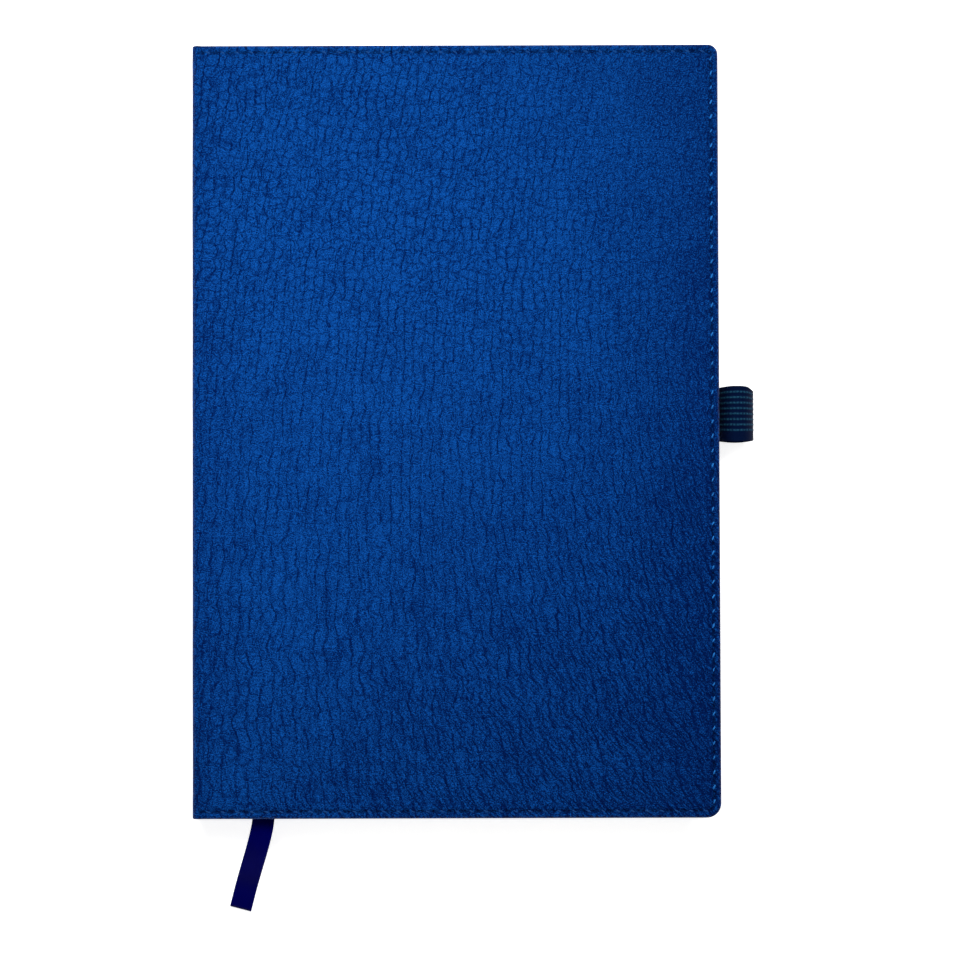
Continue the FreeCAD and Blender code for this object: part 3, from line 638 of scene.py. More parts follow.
class Sheet:
    """The leather of one cover while it is woven: its points, its faces, and what is stored on each point."""

    def __init__(self, front):
        self.front = front
        self.verts, self.faces, self.dark, self.flat = [], [], [], []

    def knot(self, u, y, depth, dark=0.0, ripple=0.0):
        """Adds one point and gives its number. The grain of the back cover is read from another place."""
        self.verts.append(settle(u, y, depth + ripple, self.front))
        self.flat.append((u, y, depth if self.front else depth + UNDER_FACE))
        self.dark.append(dark)
        return len(self.verts) - 1

    def weave_rings(self):
        """The rings as rows of point numbers, joined by faces. A coarse ring has None where it has no point."""
        rows = []
        for inset, depth, fine in sheet_profile():
            rows.append([self.ring_point(c, inset, depth, fine) if fine or c[3] else None for c in COLUMNS])
        for upper, lower in zip(rows, rows[1:]):
            stops = [c for c in range(len(COLUMNS)) if upper[c] is not None and lower[c] is not None]
            for a, b in zip(stops, stops[1:]):
                top = [v for v in upper[a:b + 1] if v is not None]
                bottom = [v for v in lower[a:b + 1] if v is not None]
                self.faces.append(top + bottom[::-1])
        return rows

    def ring_point(self, column, inset, depth, fine):
        total = case_depth(column[1] if column[0] in ("tail", "head") else FORE)
        ring, down = depth(total) if inset == "round" else (inset, depth(total))
        u, y = on_ring(column, ring)
        pushed, dark = press(column, ring) if fine else (0.0, 0.0)
        if fine and inset != "round":
            down = down - pushed * 0.7 if down > 0 else down + pushed
        return self.knot(u, y, down, dark)

    def fill_middle(self, row, level, turned):
        """A grid inside the innermost ring. Gives its line at the spine."""
        tail = [c for c, column in enumerate(COLUMNS) if column[0] == "tail" and row[c] is not None]
        head = [c for c, column in enumerate(COLUMNS) if column[0] == "head" and row[c] is not None][::-1]
        shared = min(len(tail), len(head))
        tail, head = tail[:shared], head[:shared]
        edge = [row[c] for c in range(tail[-1] + 1, head[-1]) if row[c] is not None]
        limit = HALF_Y - INNERMOST - 0.1
        lines = []
        for t, h in zip(tail, head):
            u = on_ring(COLUMNS[t], INNERMOST)[0]
            line = [row[t]]
            for v in edge:
                y = max(-limit, min(limit, self.verts[v][1] / MM))
                ripple = 0.0 if turned else 0.05 * noise.noise((u * 0.06, y * 0.05, 0.0))
                line.append(self.knot(u, y, level, ripple=ripple))
            lines.append([*line, row[h]])
        lines.append([row[tail[-1]], *edge, row[head[-1]]])
        for one, two in zip(lines[:-1], lines[1:]):
            for n in range(len(one) - 1):
                corners = list(dict.fromkeys((one[n], two[n], two[n + 1], one[n + 1])))
                if len(corners) > 2:
                    self.faces.append(corners[::-1] if turned else corners)
        return lines[0]

    def close_at_spine(self, rows, outer, inner):
        for n in range(len(outer) - 1):
            self.faces.append([outer[n], outer[n + 1], inner[n + 1], inner[n]])
        self.faces.append([row[0] for row in rows][::-1])
        self.faces.append([row[-1] for row in rows])


def leather_sheet(name, front):
    sheet = Sheet(front)
    rows = sheet.weave_rings()
    outer = sheet.fill_middle(rows[0], 0.0, turned=False)
    inner = sheet.fill_middle(rows[-1], SKIN, turned=True)
    sheet.close_at_spine(rows, outer, inner)
    # "pressed" holds the painted shade of the needle holes and the stitch valley.
    piece = mesh_piece(name, sheet.verts, sheet.faces, LEATHER, {"pressed": sheet.dark},
                       lay={"hide": sheet.flat})
    sharpen(piece, 60)
    return piece


# %% [markdown]
# ## The leather of both covers
# A cover turns about a line just behind the board. Here both sheets are made and set in place, and the
# designed leather of the covers and spine is hidden; nothing ties them to the block or the covers, so they
# don't bend at the hinge. Two separate pieces would be simpler, but they would part at the hinge.

# %% Leather at the hinges
front_leather = leather_sheet("front_leather_case", True)
back_leather = leather_sheet("back_leather_case", False)
hinges = (
    (front_leather, "front_cover", HIGH - ROLL, HIGH),
    (back_leather, "back_cover", ROLL, 0.0),
)
for piece, body, inner_z, outer_z in hinges:
    inner_z * MM
    outer_z * MM
    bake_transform(piece)
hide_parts("front_cover_leather", "spine_leather")
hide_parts("back_cover_leather")
print("leather faces:", len(front_leather.data.polygons), "on each cover")

# %% [markdown]
# ## A small language for Geometry Nodes
# What repeats is grown by Geometry Nodes: one tree says how a shape is placed, and its inputs say how many,
# how large and how uneven. Copying objects in a loop would work too, but a tree keeps the rule in one place,
# and its inputs can be tried by hand. Here a tree is built from typed inputs, its values are set by socket
# identifier, and the result is turned into a plain mesh.

# %% Growing a mesh from a tree
class Tree:
    """A Geometry Nodes tree with named inputs; what reaches `end` is made real and given a material."""

    def __init__(self, name, **inputs):
        self.group = bpy.data.node_groups.new(name, "GeometryNodeTree")
        self.group.interface.new_socket("Geometry", in_out="INPUT", socket_type="NodeSocketGeometry")
        for key, kind in inputs.items():
            self.group.interface.new_socket(key, in_out="INPUT", socket_type="NodeSocket" + kind)
        self.group.interface.new_socket("Material", in_out="INPUT", socket_type="NodeSocketMaterial")
        self.group.interface.new_socket("Geometry", in_out="OUTPUT", socket_type="NodeSocketGeometry")
        self.given = self.group.nodes.new("NodeGroupInput").outputs

    def add(self, kind, settings, sockets):
        node = self.group.nodes.new(kind)
        for key, setting in settings.items():
            setattr(node, key, setting)
        for key, value in sockets.items():
            socket = node.inputs[key]
            if isinstance(value, bpy.types.NodeSocket):
                self.group.links.new(value, socket)
            else:
                socket.default_value = value
        return node

    def maths(self, operation, first, second=0.0):
        return self.add("ShaderNodeMath", {"operation": operation}, {0: first, 1: second}).outputs[0]

    def vector(self, x, y, z):
        return self.add("ShaderNodeCombineXYZ", {}, {0: x, 1: y, 2: z}).outputs[0]

    def random(self, low, high, seed, kind="FLOAT"):
        spots = {"FLOAT": (2, 3, 1), "FLOAT_VECTOR": (0, 1, 0)}[kind]
        node = self.add("FunctionNodeRandomValue", {"data_type": kind},
                        {spots[0]: low, spots[1]: high, "Seed": seed})
        return node.outputs[spots[2]]

    def end(self, geometry):
        real = self.add("GeometryNodeRealizeInstances", {}, {"Geometry": geometry})
        dyed = self.add("GeometryNodeSetMaterial", {}, {"Geometry": real.outputs[0],
                                                        "Material": self.given["Material"]})
        out = self.group.nodes.new("NodeGroupOutput")
        self.group.links.new(dyed.outputs[0], out.inputs[0])

    def grow(self, name, data, material, **values):
        """A plain mesh object made by this tree from some starting data, a curve or a mesh."""
        seedling = show(name + "_path", data)
        modifier = seedling.modifiers.new("grow", "NODES")
        modifier.node_group = self.group
        for item in self.group.interface.items_tree:
            if item.in_out == "INPUT" and item.name in values:
                modifier[item.identifier] = values[item.name]
            elif item.in_out == "INPUT" and item.name == "Material":
                modifier[item.identifier] = material
        graph = bpy.context.evaluated_depsgraph_get()
        mesh = bpy.data.meshes.new_from_object(seedling.evaluated_get(graph), depsgraph=graph)
        bpy.data.objects.remove(seedling)
        mesh.name = name
        if not mesh.materials:
            mesh.materials.append(material)
        print(name, "has", len(mesh.polygons), "faces")
        return show(name, mesh)


# %% [markdown]
# ## Thread
# The stitches are bright blue polyester thread, a little glossy, with its fibres showing. An image of thread
# would be too coarse for pieces of two millimetres, so noise gives the fibres. Along the head and tail the
# thread is painted darker: painted shade, where it lies in the shade of the roll.

# %% Thread finish
def thread_finish():
    thread = Finish("blue_thread", **{"Specular IOR Level": 0.35, "Specular Tint": colour(0.25, 0.6, 1.0),
                                      "Sheen Weight": 0.25, "Sheen Tint": colour(0.2, 0.6, 1.0)})
    x, y, z = thread.place()
    fibre = thread.noise(thread.point(x + y, x - y, z), 5.5, 3.0, 0.7)
    patch = thread.noise(thread.point(x, y, z), 0.22, 2.0)
    # Painted shade: the thread is darker along the head and tail.
    ends = y.maths("ABSOLUTE").between(100.0, 102.0)
    shade = ((fibre * 0.7 + patch * 0.9 - 0.2) * (1 - ends * 0.88)).clamped()
    thread.feed("Base Color", thread.blend(shade, colour(0.002, 0.026, 0.15), colour(0.018, 0.240, 0.75)))
    thread.feed("Roughness", 0.45 + fibre * 0.2)
    thread.relief(fibre, 0.10)
    return thread.material


THREAD = thread_finish()
print("thread nodes:", len(THREAD.node_tree.nodes))

# %% [markdown]
# ## A tree that sews
# A row of thread runs 1.9 mm in from the edge. Each stitch rises from one needle hole, lies a little aslant
# over the hide and goes down the next hole. One arch of thread is made from a Bezier segment and a round
# profile, thinner at its ends, and the tree sets one at every pitch along the row, turned to follow it. The
# rows inside the cover face the other way, so the tree looks on which side of the board a row is. An Array
# modifier on a curve would be simpler, but it would lay every stitch exactly alike.

# %% A tree that sews
UNEVEN_LEAN, SMALLEST, LARGEST = 0.12, 0.88, 1.10


def thread_arch(tree):
    """One stitch along X: an arch of thread, thinner at its ends."""
    given = tree.given
    sunk = tree.maths("MULTIPLY", given["Height"], -1.3)
    arch = tree.add("GeometryNodeCurveQuadraticBezier", {}, {
        "Resolution": 7, "Start": tree.vector(tree.maths("MULTIPLY", given["Length"], -0.5), 0.0, sunk),
        "Middle": tree.vector(0.0, 0.0, tree.maths("MULTIPLY", given["Height"], 2.0)),
        "End": tree.vector(tree.maths("MULTIPLY", given["Length"], 0.5), 0.0, sunk)})
    along = tree.add("GeometryNodeSplineParameter", {}, {}).outputs[0]
    swell = tree.maths("SINE", tree.maths("MULTIPLY", along, math.pi))
    full = tree.add("GeometryNodeSetCurveRadius", {}, {
        "Curve": arch.outputs[0], "Radius": tree.maths("ADD", tree.maths("MULTIPLY", swell, 0.6), 0.4)})
    ring = tree.add("GeometryNodeCurvePrimitiveCircle", {"mode": "RADIUS"},
                    {"Resolution": 6, 4: given["Radius"]})
    return tree.add("GeometryNodeCurveToMesh", {}, {
        "Curve": full.outputs[0], "Profile Curve": ring.outputs[0], "Fill Caps": True}).outputs[0]


def stitch_turn(tree, tangent):
    """Along the row, facing away from the middle of the board, and leaning a little."""
    given = tree.given
    ahead = tree.add("FunctionNodeAlignRotationToVector", {"axis": "X"}, {"Vector": tangent})
    here = tree.add("GeometryNodeInputPosition", {}, {}).outputs[0]
    off = tree.add("ShaderNodeVectorMath", {"operation": "SUBTRACT"}, {0: here, 1: given["Middle"]}).outputs[0]
    side = tree.add("ShaderNodeVectorMath", {"operation": "DOT_PRODUCT"}, {0: off, 1: given["Facing"]})
    outward = tree.add("ShaderNodeVectorMath", {"operation": "SCALE"}, {
        0: given["Facing"], "Scale": tree.maths("SIGN", side.outputs["Value"])}).outputs[0]
    upright = tree.add("FunctionNodeAlignRotationToVector", {"axis": "Z", "pivot_axis": "X"},
                       {"Rotation": ahead.outputs[0], "Vector": outward})
    lean = tree.maths("ADD", given["Slant"], tree.random(-UNEVEN_LEAN, UNEVEN_LEAN, given["Seed"]))
    leaned = tree.add("FunctionNodeEulerToRotation", {}, {0: tree.vector(0.0, 0.0, lean)}).outputs[0]
    return tree.add("FunctionNodeRotateRotation", {"rotation_space": "LOCAL"}, {
        0: upright.outputs[0], 1: leaned}).outputs[0]


def stitch_tree():
    tree = Tree("stitches_along_a_row", Length="Float", Radius="Float", Height="Float", Slant="Float",
                Count="Int", Pitch="Float", Facing="Vector", Middle="Vector", Seed="Int")
    given = tree.given
    row_length = tree.add("GeometryNodeSplineLength", {}, {}).outputs[0]
    half_pitch = tree.maths("MULTIPLY", given["Pitch"], 0.5)
    trimmed = tree.add("GeometryNodeTrimCurve", {"mode": "LENGTH"}, {
        "Curve": given["Geometry"], 4: half_pitch, 5: tree.maths("SUBTRACT", row_length, half_pitch)})
    spots = tree.add("GeometryNodeCurveToPoints", {"mode": "COUNT"},
                     {"Curve": trimmed.outputs[0], "Count": given["Count"]})
    size = tree.random(SMALLEST, LARGEST, tree.maths("ADD", given["Seed"], 7))
    set_out = tree.add("GeometryNodeInstanceOnPoints", {}, {
        "Points": spots.outputs["Points"], "Instance": thread_arch(tree),
        "Rotation": stitch_turn(tree, spots.outputs["Tangent"]), "Scale": size})
    tree.end(set_out.outputs[0])
    return tree


STITCH_ROWS = stitch_tree()
print("nodes in the sewing tree:", len(STITCH_ROWS.group.nodes))

# %% [markdown]
# ## Stitches round the covers and over the spine
# The rows follow the columns of the leather, so each stitch lies between two needle holes. The outer row lies
# a little under the face, because the thread has pulled the hide in. Four stitches at each end carry the
# thread over the spine.

# %% Rows of stitches
OUTER_ROW_DEPTH, INNER_ROW_RISE = 0.32, 0.12
STITCH_LENGTH = 1.65 * MM
SPINE_STITCHES, SPINE_ROW_OFF = 4, 0.22


def row_curve(name, rows):
    """A curve of straight runs through each row of points, in metres."""
    curve = bpy.data.curves.new(name, "CURVE")
    curve.dimensions = "3D"
    for points in rows:
        spline = curve.splines.new("POLY")
        spline.points.add(len(points) - 1)
        for spot, p in zip(spline.points, points):
            spot.co = (*p, 1.0)
    return curve


def cover_rows(front):
    """The rows outside and inside a cover, on the hide where the stitches have pulled it in."""
    run = [on_ring(column, STITCH_INSET) for column in COLUMNS if column[2] >= 0]
    outside = [settle(u, y, OUTER_ROW_DEPTH, front) for u, y in run]
    inside = [settle(u, y, case_depth(u) - INNER_ROW_RISE, front) for u, y in run]
    return outside, inside


for side, middle, seed in (("front", HIGH - BOARD / 2, 3), ("back", BOARD / 2, 11)):
    name = f"{side}_cover_stitches"
    rows = cover_rows(side == "front")
    run_length = sum((Vector(b) - Vector(a)).length for a, b in zip(rows[0], rows[0][1:]))
    row_pitch = run_length / STITCHES
    stitches = STITCH_ROWS.grow(name, row_curve(name, rows), THREAD, Length=STITCH_LENGTH, Radius=0.25 * MM,
                                Height=0.26 * MM, Slant=-0.50, Count=STITCHES, Pitch=row_pitch,
                                Facing=(0, 0, 1), Middle=(0, 0, middle * MM), Seed=seed)
    fasten(stitches, f"{side}_cover", "thread", f"{side}_cover_stitching")

spine_x = HINGE_X - ROLL + SPINE_ROW_OFF
spine_levels = (ROLL + 0.3, HIGH / 2, HIGH - ROLL - 0.3)
spine_rows = [[(spine_x * MM, y * MM, z * MM) for z in spine_levels]
              for y in (-HALF_Y + STITCH_INSET, HALF_Y - STITCH_INSET)]
spine_stitches = STITCH_ROWS.grow("spine_stitches", row_curve("spine_stitches", spine_rows), THREAD,
                                  Length=STITCH_LENGTH, Radius=0.22 * MM, Height=0.16 * MM, Slant=-0.40,
                                  Count=SPINE_STITCHES, Pitch=row_pitch * 0.85, Facing=(1, 0, 0),
                                  Middle=(0, 0, 0), Seed=5)
fasten(spine_stitches, "book_block", "thread", "spine_stitching")

# %% [markdown]
# ## Paper
# Three finishes of paper: ruled pages, toned endpapers, and the cut edges of the block. The ruling is drawn
# by arithmetic: a saw-tooth of the distance along the page is turned into thin lines, which stay sharp at
# any size, while a picture of lines would blur. The pattern is stored with the sheet, so it turns with a page.

# %% Paper finishes
RULED_Y, RULED_FROM_X, RULED_TO_X = 94.5, -56.0, 64.0
HEADING_Y = 80.5
RULE_PITCH, BAR_PITCH, ONLY_ONCE = 7.0, 15.0, 400.0
FINE_LINE, BOLD_LINE = 0.11, 0.22


def drawn_line(value, pitch, width):
    """1 on thin lines one pitch apart, 0 between them."""
    saw = (value / pitch).maths("FRACT")
    return ((saw - 0.5).maths("ABSOLUTE") * -pitch + pitch * 0.5).maths("LESS_THAN", width)


def ruled(paper, x, y, base):
    """The paper's colour with a form of lines and a tinted heading over it."""
    inside = (y.maths("ABSOLUTE").maths("LESS_THAN", RULED_Y) * x.maths("LESS_THAN", RULED_TO_X)
              * x.maths("GREATER_THAN", RULED_FROM_X))
    rules = drawn_line(y + RULED_Y, RULE_PITCH, FINE_LINE) * inside
    bars = drawn_line(x - RULED_FROM_X, BAR_PITCH, FINE_LINE) * inside
    under_heading = drawn_line(y - HEADING_Y, ONLY_ONCE, BOLD_LINE) * inside
    ink = (rules + bars + under_heading).clamped()
    heading = y.maths("GREATER_THAN", HEADING_Y) * inside
    base = paper.blend(heading * 0.35, base, colour(0.45, 0.60, 0.72))
    return paper.blend(ink * 0.75, base, colour(0.20, 0.32, 0.45))


def paper_finish(name, light, dark, mark, with_lines):
    paper = Finish(name, **{"Specular IOR Level": 0.2, "Sheen Weight": 0.05})
    x, y, z = paper.place(mark)
    fibre = paper.noise(paper.point(x, y, z), 1.6, 4.0, 0.7)
    cloud = paper.noise(paper.point(x, y, z), 0.03, 2.0)
    base = paper.blend((fibre * 0.5 + cloud * 0.5).clamped(), dark, light)
    paper.feed("Base Color", ruled(paper, x, y, base) if with_lines else base)
    paper.feed("Roughness", 0.78 + fibre * 0.12)
    paper.relief(fibre, 0.02)
    return paper.material


PAGE = paper_finish("ruled_page", colour(0.80, 0.77, 0.68), colour(0.72, 0.69, 0.59), "sheet", True)
ENDPAPER = paper_finish("endpaper", colour(0.70, 0.68, 0.60), colour(0.60, 0.58, 0.50), "sheet", False)
PAGE_EDGE = paper_finish("page_edges", colour(0.80, 0.77, 0.68), colour(0.66, 0.62, 0.52), None, False)
print("papers:", PAGE.name, ENDPAPER.name, PAGE_EDGE.name)

# %% [markdown]
# ## Leaves that turn
# The first eight leaves, the two flyleaves and the two pasted endpapers bend near the fold when a cover is
# opened. Each is a thin closed sheet with many narrow strips by the fold and few elsewhere, where the paper
# would roll over in a curve; here each sheet is only made and set in the place of its designed leaf, and
# doesn't bend. Cloth could bend it, but it would have to be simulated again at every pose.

# %% Leaves, flyleaves and pasted endpapers
STRIP = 0.4
BROAD_STRIPS = (-20.0, 20.0, 50.0)
PASTED_FOLD, FLYLEAF_FOLD, LEAF_FOLD = -69.0, -68.6, -68.5
LEAF_CORNER, PASTED_CORNER = 3.0, 2.0


def paper_sheet(name, x_fold, x_fore, half_y, z_low, z_high, corner, material, bend):
    """A thin closed sheet with round corners at the fore-edge and narrow strips where it bends."""
    xs = []
    x = x_fold
    while x < x_fold + bend + 1.0:
        xs.append(x)
        x += STRIP
    xs += [x_fold + bend + 4, *BROAD_STRIPS]
    xs += [x_fore - corner + corner * math.sin(a * math.pi / 12) for a in range(7)]
    verts, lay = [], []
    for x in xs:
        into = max(0.0, x - (x_fore - corner))
        y = half_y - corner + math.sqrt(max(0.0, corner ** 2 - into ** 2))
        for sign, z in ((-1, z_low), (1, z_low), (1, z_high), (-1, z_high)):
            verts.append((x * MM, sign * y * MM, z * MM))
            lay.append((x, sign * y, z))
    faces = [[0, 1, 2, 3]]
    for a in range(0, 4 * len(xs) - 4, 4):
        faces += [[a + k, a + 4 + k, a + 4 + (k + 1) % 4, a + (k + 1) % 4] for k in range(4)]
    last = 4 * len(xs) - 4
    faces.append([last + 3, last + 2, last + 1, last])
    return mesh_piece(name, verts, faces, material, smooth=False, lay={"sheet": lay})


def turning_sheet(name, node, material, x_fold, bend, corner=LEAF_CORNER):
    """A sheet the size of its CAD node, set in its place, with the CAD node hidden."""
    low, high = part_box(node)
    piece = paper_sheet(name, x_fold, high.x / MM, high.y / MM, low.z / MM, high.z / MM, corner, material, bend)
    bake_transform(piece)
    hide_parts(node)
    print(name, "bends over", bend, "mm")


for side in ("front", "back"):
    turning_sheet(f"{side}_endpaper", f"{side}_cover_pastedown", ENDPAPER,
                  PASTED_FOLD, 3.0, PASTED_CORNER)
for side in ("front", "back"):
    turning_sheet(f"{side}_flyleaf_sheet", f"{side}_flyleaf", ENDPAPER,
                  FLYLEAF_FOLD, 8.0)
for number in range(1, 9):
    turning_sheet(f"leaf_{number}_sheet", f"leaf_{number}", PAGE,
                  LEAF_FOLD, 9.0 + 0.5 * number)

# %% [markdown]
# ## The rest of the block
# Behind the first leaves lie nine more sections of eight leaves, still unread. They could be plain blocks
# with lines painted on them, but the edge of a book shows every leaf, so one leaf is made and a tree stacks
# eight of them, each a hair out of line.

# %% Sections of leaves
SECTIONS = range(2, 11)
LEAVES, LEAF_PITCH, LEAF_THICK, OUT_OF_LINE = 8, 0.13, 0.11, 0.12
BLOCK_BACK = -68.85


def section_tree():
    tree = Tree("section_of_leaves", Count="Int", Pitch="Float", Shift="Float", Seed="Int")
    given = tree.given
    levels = tree.add("GeometryNodeMeshLine", {"mode": "OFFSET"}, {
        "Count": given["Count"], "Start Location": (0, 0, 0), "Offset": tree.vector(0.0, 0.0, given["Pitch"])})
    less = tree.maths("MULTIPLY", given["Shift"], -1.0)
    wander = tree.random(tree.vector(less, less, 0.0), tree.vector(0.0, given["Shift"], 0.0),
                         given["Seed"], "FLOAT_VECTOR")
    shuffled = tree.add("GeometryNodeSetPosition", {}, {"Geometry": levels.outputs[0], "Offset": wander})
    stacked = tree.add("GeometryNodeInstanceOnPoints", {}, {
        "Points": shuffled.outputs[0], "Instance": given["Geometry"]})
    tree.end(stacked.outputs[0])
    return tree


SECTION = section_tree()
for number in SECTIONS:
    node = f"section_{number:02d}"
    low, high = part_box(node)
    bottom = low.z / MM
    leaf = paper_sheet("one_leaf", BLOCK_BACK, high.x / MM, high.y / MM, bottom, bottom + LEAF_THICK,
                       LEAF_CORNER, PAGE_EDGE, 0.0)
    mesh = leaf.data
    bpy.data.objects.remove(leaf)
    section = SECTION.grow(f"{node}_leaves", mesh, PAGE_EDGE, Count=LEAVES, Pitch=LEAF_PITCH * MM,
                           Shift=OUT_OF_LINE * MM, Seed=number)
    fasten(section, "book_block", "page", node)

# %% [markdown]
# ## Folds at the back
# The leaves of a section are folded sheets, so each section has a round back. A half round bar along each one
# stands where the sheets turn. Folding every leaf would be truer, but the folds are hidden by the spine.

# %% Folds at the back
FOLD_X, FOLD_BULGE, FOLD_POINTS = -68.8, 0.3, 9


def section_folds():
    verts, faces = [], []
    for number in SECTIONS:
        low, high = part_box(f"section_{number:02d}")
        middle, half_high = (low.z + high.z) / 2 / MM, (high.z - low.z) / 2 / MM - 0.01
        start = len(verts)
        for y in (-high.y / MM + 0.05, high.y / MM - 0.05):
            for n in range(FOLD_POINTS):
                a = math.pi / 2 + math.pi * n / (FOLD_POINTS - 1)
                x, z = FOLD_X + FOLD_BULGE * math.cos(a), middle + half_high * math.sin(a)
                verts.append((x * MM, y * MM, z * MM))
        near = [start + n for n in range(FOLD_POINTS)]
        far = [v + FOLD_POINTS for v in near]
        faces += [[near[n - 1], near[n], far[n], far[n - 1]] for n in (*range(1, FOLD_POINTS), 0)]
        faces += [near[::-1], far]
    return mesh_piece("section_folds", verts, faces, PAGE_EDGE)


folds = section_folds()
sharpen(folds, 50)
fasten(folds, "book_block", "page")
print("folds:", len(SECTIONS))

# %% [markdown]
# ## Head and tail bands
# A band of blue and white silk is sewn over a core at each end of the spine. The wraps are rings of thread
# set side by side by a tree, round a core, over a flat cloth tape that is glued to the back of the block. A
# striped tube would pass from far off, but the wraps are what a hand feels when it pulls a book from a shelf.

# %% Head and tail bands
def band_finish():
    band = Finish("striped_silk", **{"Sheen Weight": 0.3})
    x, y, z = band.place()
    stripe = ((z * 0.60).maths("FRACT") - 0.5).between(-0.06, 0.06)
    silk = band.noise(band.point(x, y, z * 3.0), 3.0, 2.0)
    band.feed("Base Color", band.blend(stripe, colour(0.010, 0.06, 0.30), colour(0.62, 0.62, 0.58)))
    band.feed("Roughness", 0.4 + silk * 0.2)
    band.relief(silk, 0.05)
    return band.material


BAND = band_finish()


def band_tree():
    tree = Tree("wraps_of_silk", Radius="Float", Thread="Float", Centre="Vector", Count="Int", Pitch="Float")
    given = tree.given
    spots = tree.add("GeometryNodeMeshLine", {"mode": "OFFSET"}, {
        "Count": given["Count"], "Start Location": given["Centre"],
        "Offset": tree.vector(0.0, 0.0, given["Pitch"])})
    round_core, strand = [tree.add("GeometryNodeCurvePrimitiveCircle", {"mode": "RADIUS"}, {
        "Resolution": resolution, 4: given[size]}) for resolution, size in ((12, "Radius"), (6, "Thread"))]
    wrap = tree.add("GeometryNodeCurveToMesh", {}, {
        "Curve": round_core.outputs[0], "Profile Curve": strand.outputs[0]})
    wraps = tree.add("GeometryNodeInstanceOnPoints", {}, {
        "Points": spots.outputs[0], "Instance": wrap.outputs[0]})
    both = tree.add("GeometryNodeJoinGeometry", {}, {})
    tree.group.links.new(wraps.outputs[0], both.inputs[0])
    tree.group.links.new(given["Geometry"], both.inputs[0])
    tree.end(both.outputs[0])
    return tree


WRAPS = band_tree()
print("nodes in the wrapping tree:", len(WRAPS.group.nodes))

# %% [markdown]
# ## Tape and core under the silk
# The tape and the core are two small slabs with softened edges. They are joined before the tree adds the
# wraps, so each band is one piece. A Bevel modifier would soften them too, but `bmesh` does it at once.

# %% Tape and core
BAND_FROM, BAND_TO, CORE_Y, CORE_HALF = 92.6, 103.0, 103.25, 0.4
TAPE_X, CORE_X, SILK_X = (-69.38, -69.10), (-69.1, -68.3), -68.7
WRAP_COUNT, WRAP_MARGIN = 26, 0.2


def slabs(name, *boxes):
    """One mesh of closed slabs with softened edges, each from its lowest and highest corner in millimetres."""
    mesh = bpy.data.meshes.new(name)
    joined = bmesh.new()
    for low, high, rounding in boxes:
        slab = bpy.data.meshes.new(name + "_slab")
        work = bmesh.new()
        bmesh.ops.create_cube(work, size=1.0)
        for v in work.verts:
            v.co = Vector([(low[i] + high[i]) / 2 * MM + v.co[i] * (high[i] - low[i]) * MM for i in range(3)])
        bmesh.ops.bevel(work, geom=work.edges[:], offset=rounding * MM, segments=2, affect="EDGES")
        work.to_mesh(slab)
        work.free()
        joined.from_mesh(slab)
        bpy.data.meshes.remove(slab)
    joined.to_mesh(mesh)
    joined.free()
    return mesh


for name, node, sign in (("head_band_silk", "headband", 1), ("tail_band_silk", "tailband", -1)):
    low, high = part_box(node)
    z_low, z_high = low.z / MM, high.z / MM
    inner, outer = sorted((sign * BAND_FROM, sign * BAND_TO))
    core_y = sign * CORE_Y
    under = slabs(name + "_tape", ((TAPE_X[0], inner, z_low), (TAPE_X[1], outer, z_high), 0.05),
                  ((CORE_X[0], core_y - CORE_HALF, z_low), (CORE_X[1], core_y + CORE_HALF, z_high), 0.2))
    pitch = (z_high - z_low - 2 * WRAP_MARGIN) / (WRAP_COUNT - 1)
    band = WRAPS.grow(name, under, BAND, Radius=0.50 * MM, Thread=0.20 * MM, Count=WRAP_COUNT, Pitch=pitch * MM,
                      Centre=(SILK_X * MM, core_y * MM, (z_low + WRAP_MARGIN) * MM))
    fasten(band, "book_block", "headband_cloth", node)

# %% [markdown]
# ## Pen loop
# A band of ribbed elastic is sewn into the edge of the back cover. Its ribs run round the loop and its edges
# bow outwards a little. A curve with a flat bevel would give a smooth band, so the band is woven as a
# grid instead: its width holds the rise and fall of every rib, and its length follows the drop-shaped path
# round the pen. How high a rib stands is stored too, because the ribs are a paler blue than the ground.

# %% Pen loop
def elastic_finish():
    elastic = Finish("ribbed_elastic", **{"Specular IOR Level": 0.12, "Specular Tint": colour(0.1, 0.35, 0.8)})
    x, y, z = elastic.place("band")
    rib = elastic.mark("rib")
    knit = elastic.noise(elastic.point(x * 1.3, y * 2.6, z), 1.0, 3.0, 0.7) - 0.5
    loops = ((x * 1.1 + knit * 0.8).maths("FRACT") - 0.5).maths("ABSOLUTE")
    thread_tone = (rib * (0.62 + knit * 2.4) + (loops - 0.25) * rib * 1.6 + knit * 0.15).clamped()
    ground, rib_blue = colour(0.0006, 0.0030, 0.022), colour(0.012, 0.068, 0.125)
    elastic.feed("Base Color", elastic.blend(thread_tone, ground, rib_blue))
    elastic.feed("Roughness", 0.75 + knit * 0.2)
    elastic.relief(rib * loops * 0.8 + knit * 0.4, 0.10)
    return elastic.material


ELASTIC = elastic_finish()
print("elastic nodes:", len(ELASTIC.node_tree.nodes))

# %% [markdown]
# ## The path of the loop
# Seen from the tail, the elastic leaves the seam, runs straight to the round part, goes round the pen and
# comes back. Both straight runs touch the circle, so their ends are worked out as tangents to it. Points set
# by eye would leave a kink there.

# %% The path of the loop
HALF_THICK = 0.325
RUN_STEPS, ROUND_STEPS = 14, 56
SEAMS = (((71.0, 1.19), -1), ((71.0, 1.81), 1))
loop_low, loop_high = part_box("pen_loop")
LOOP_R = (loop_high.z - loop_low.z) / MM / 2 - HALF_THICK
LOOP_C = (loop_high.x / MM - LOOP_R - HALF_THICK, (loop_high.z + loop_low.z) / MM / 2)
LOOP_Y = (loop_high.y + loop_low.y) / MM / 2


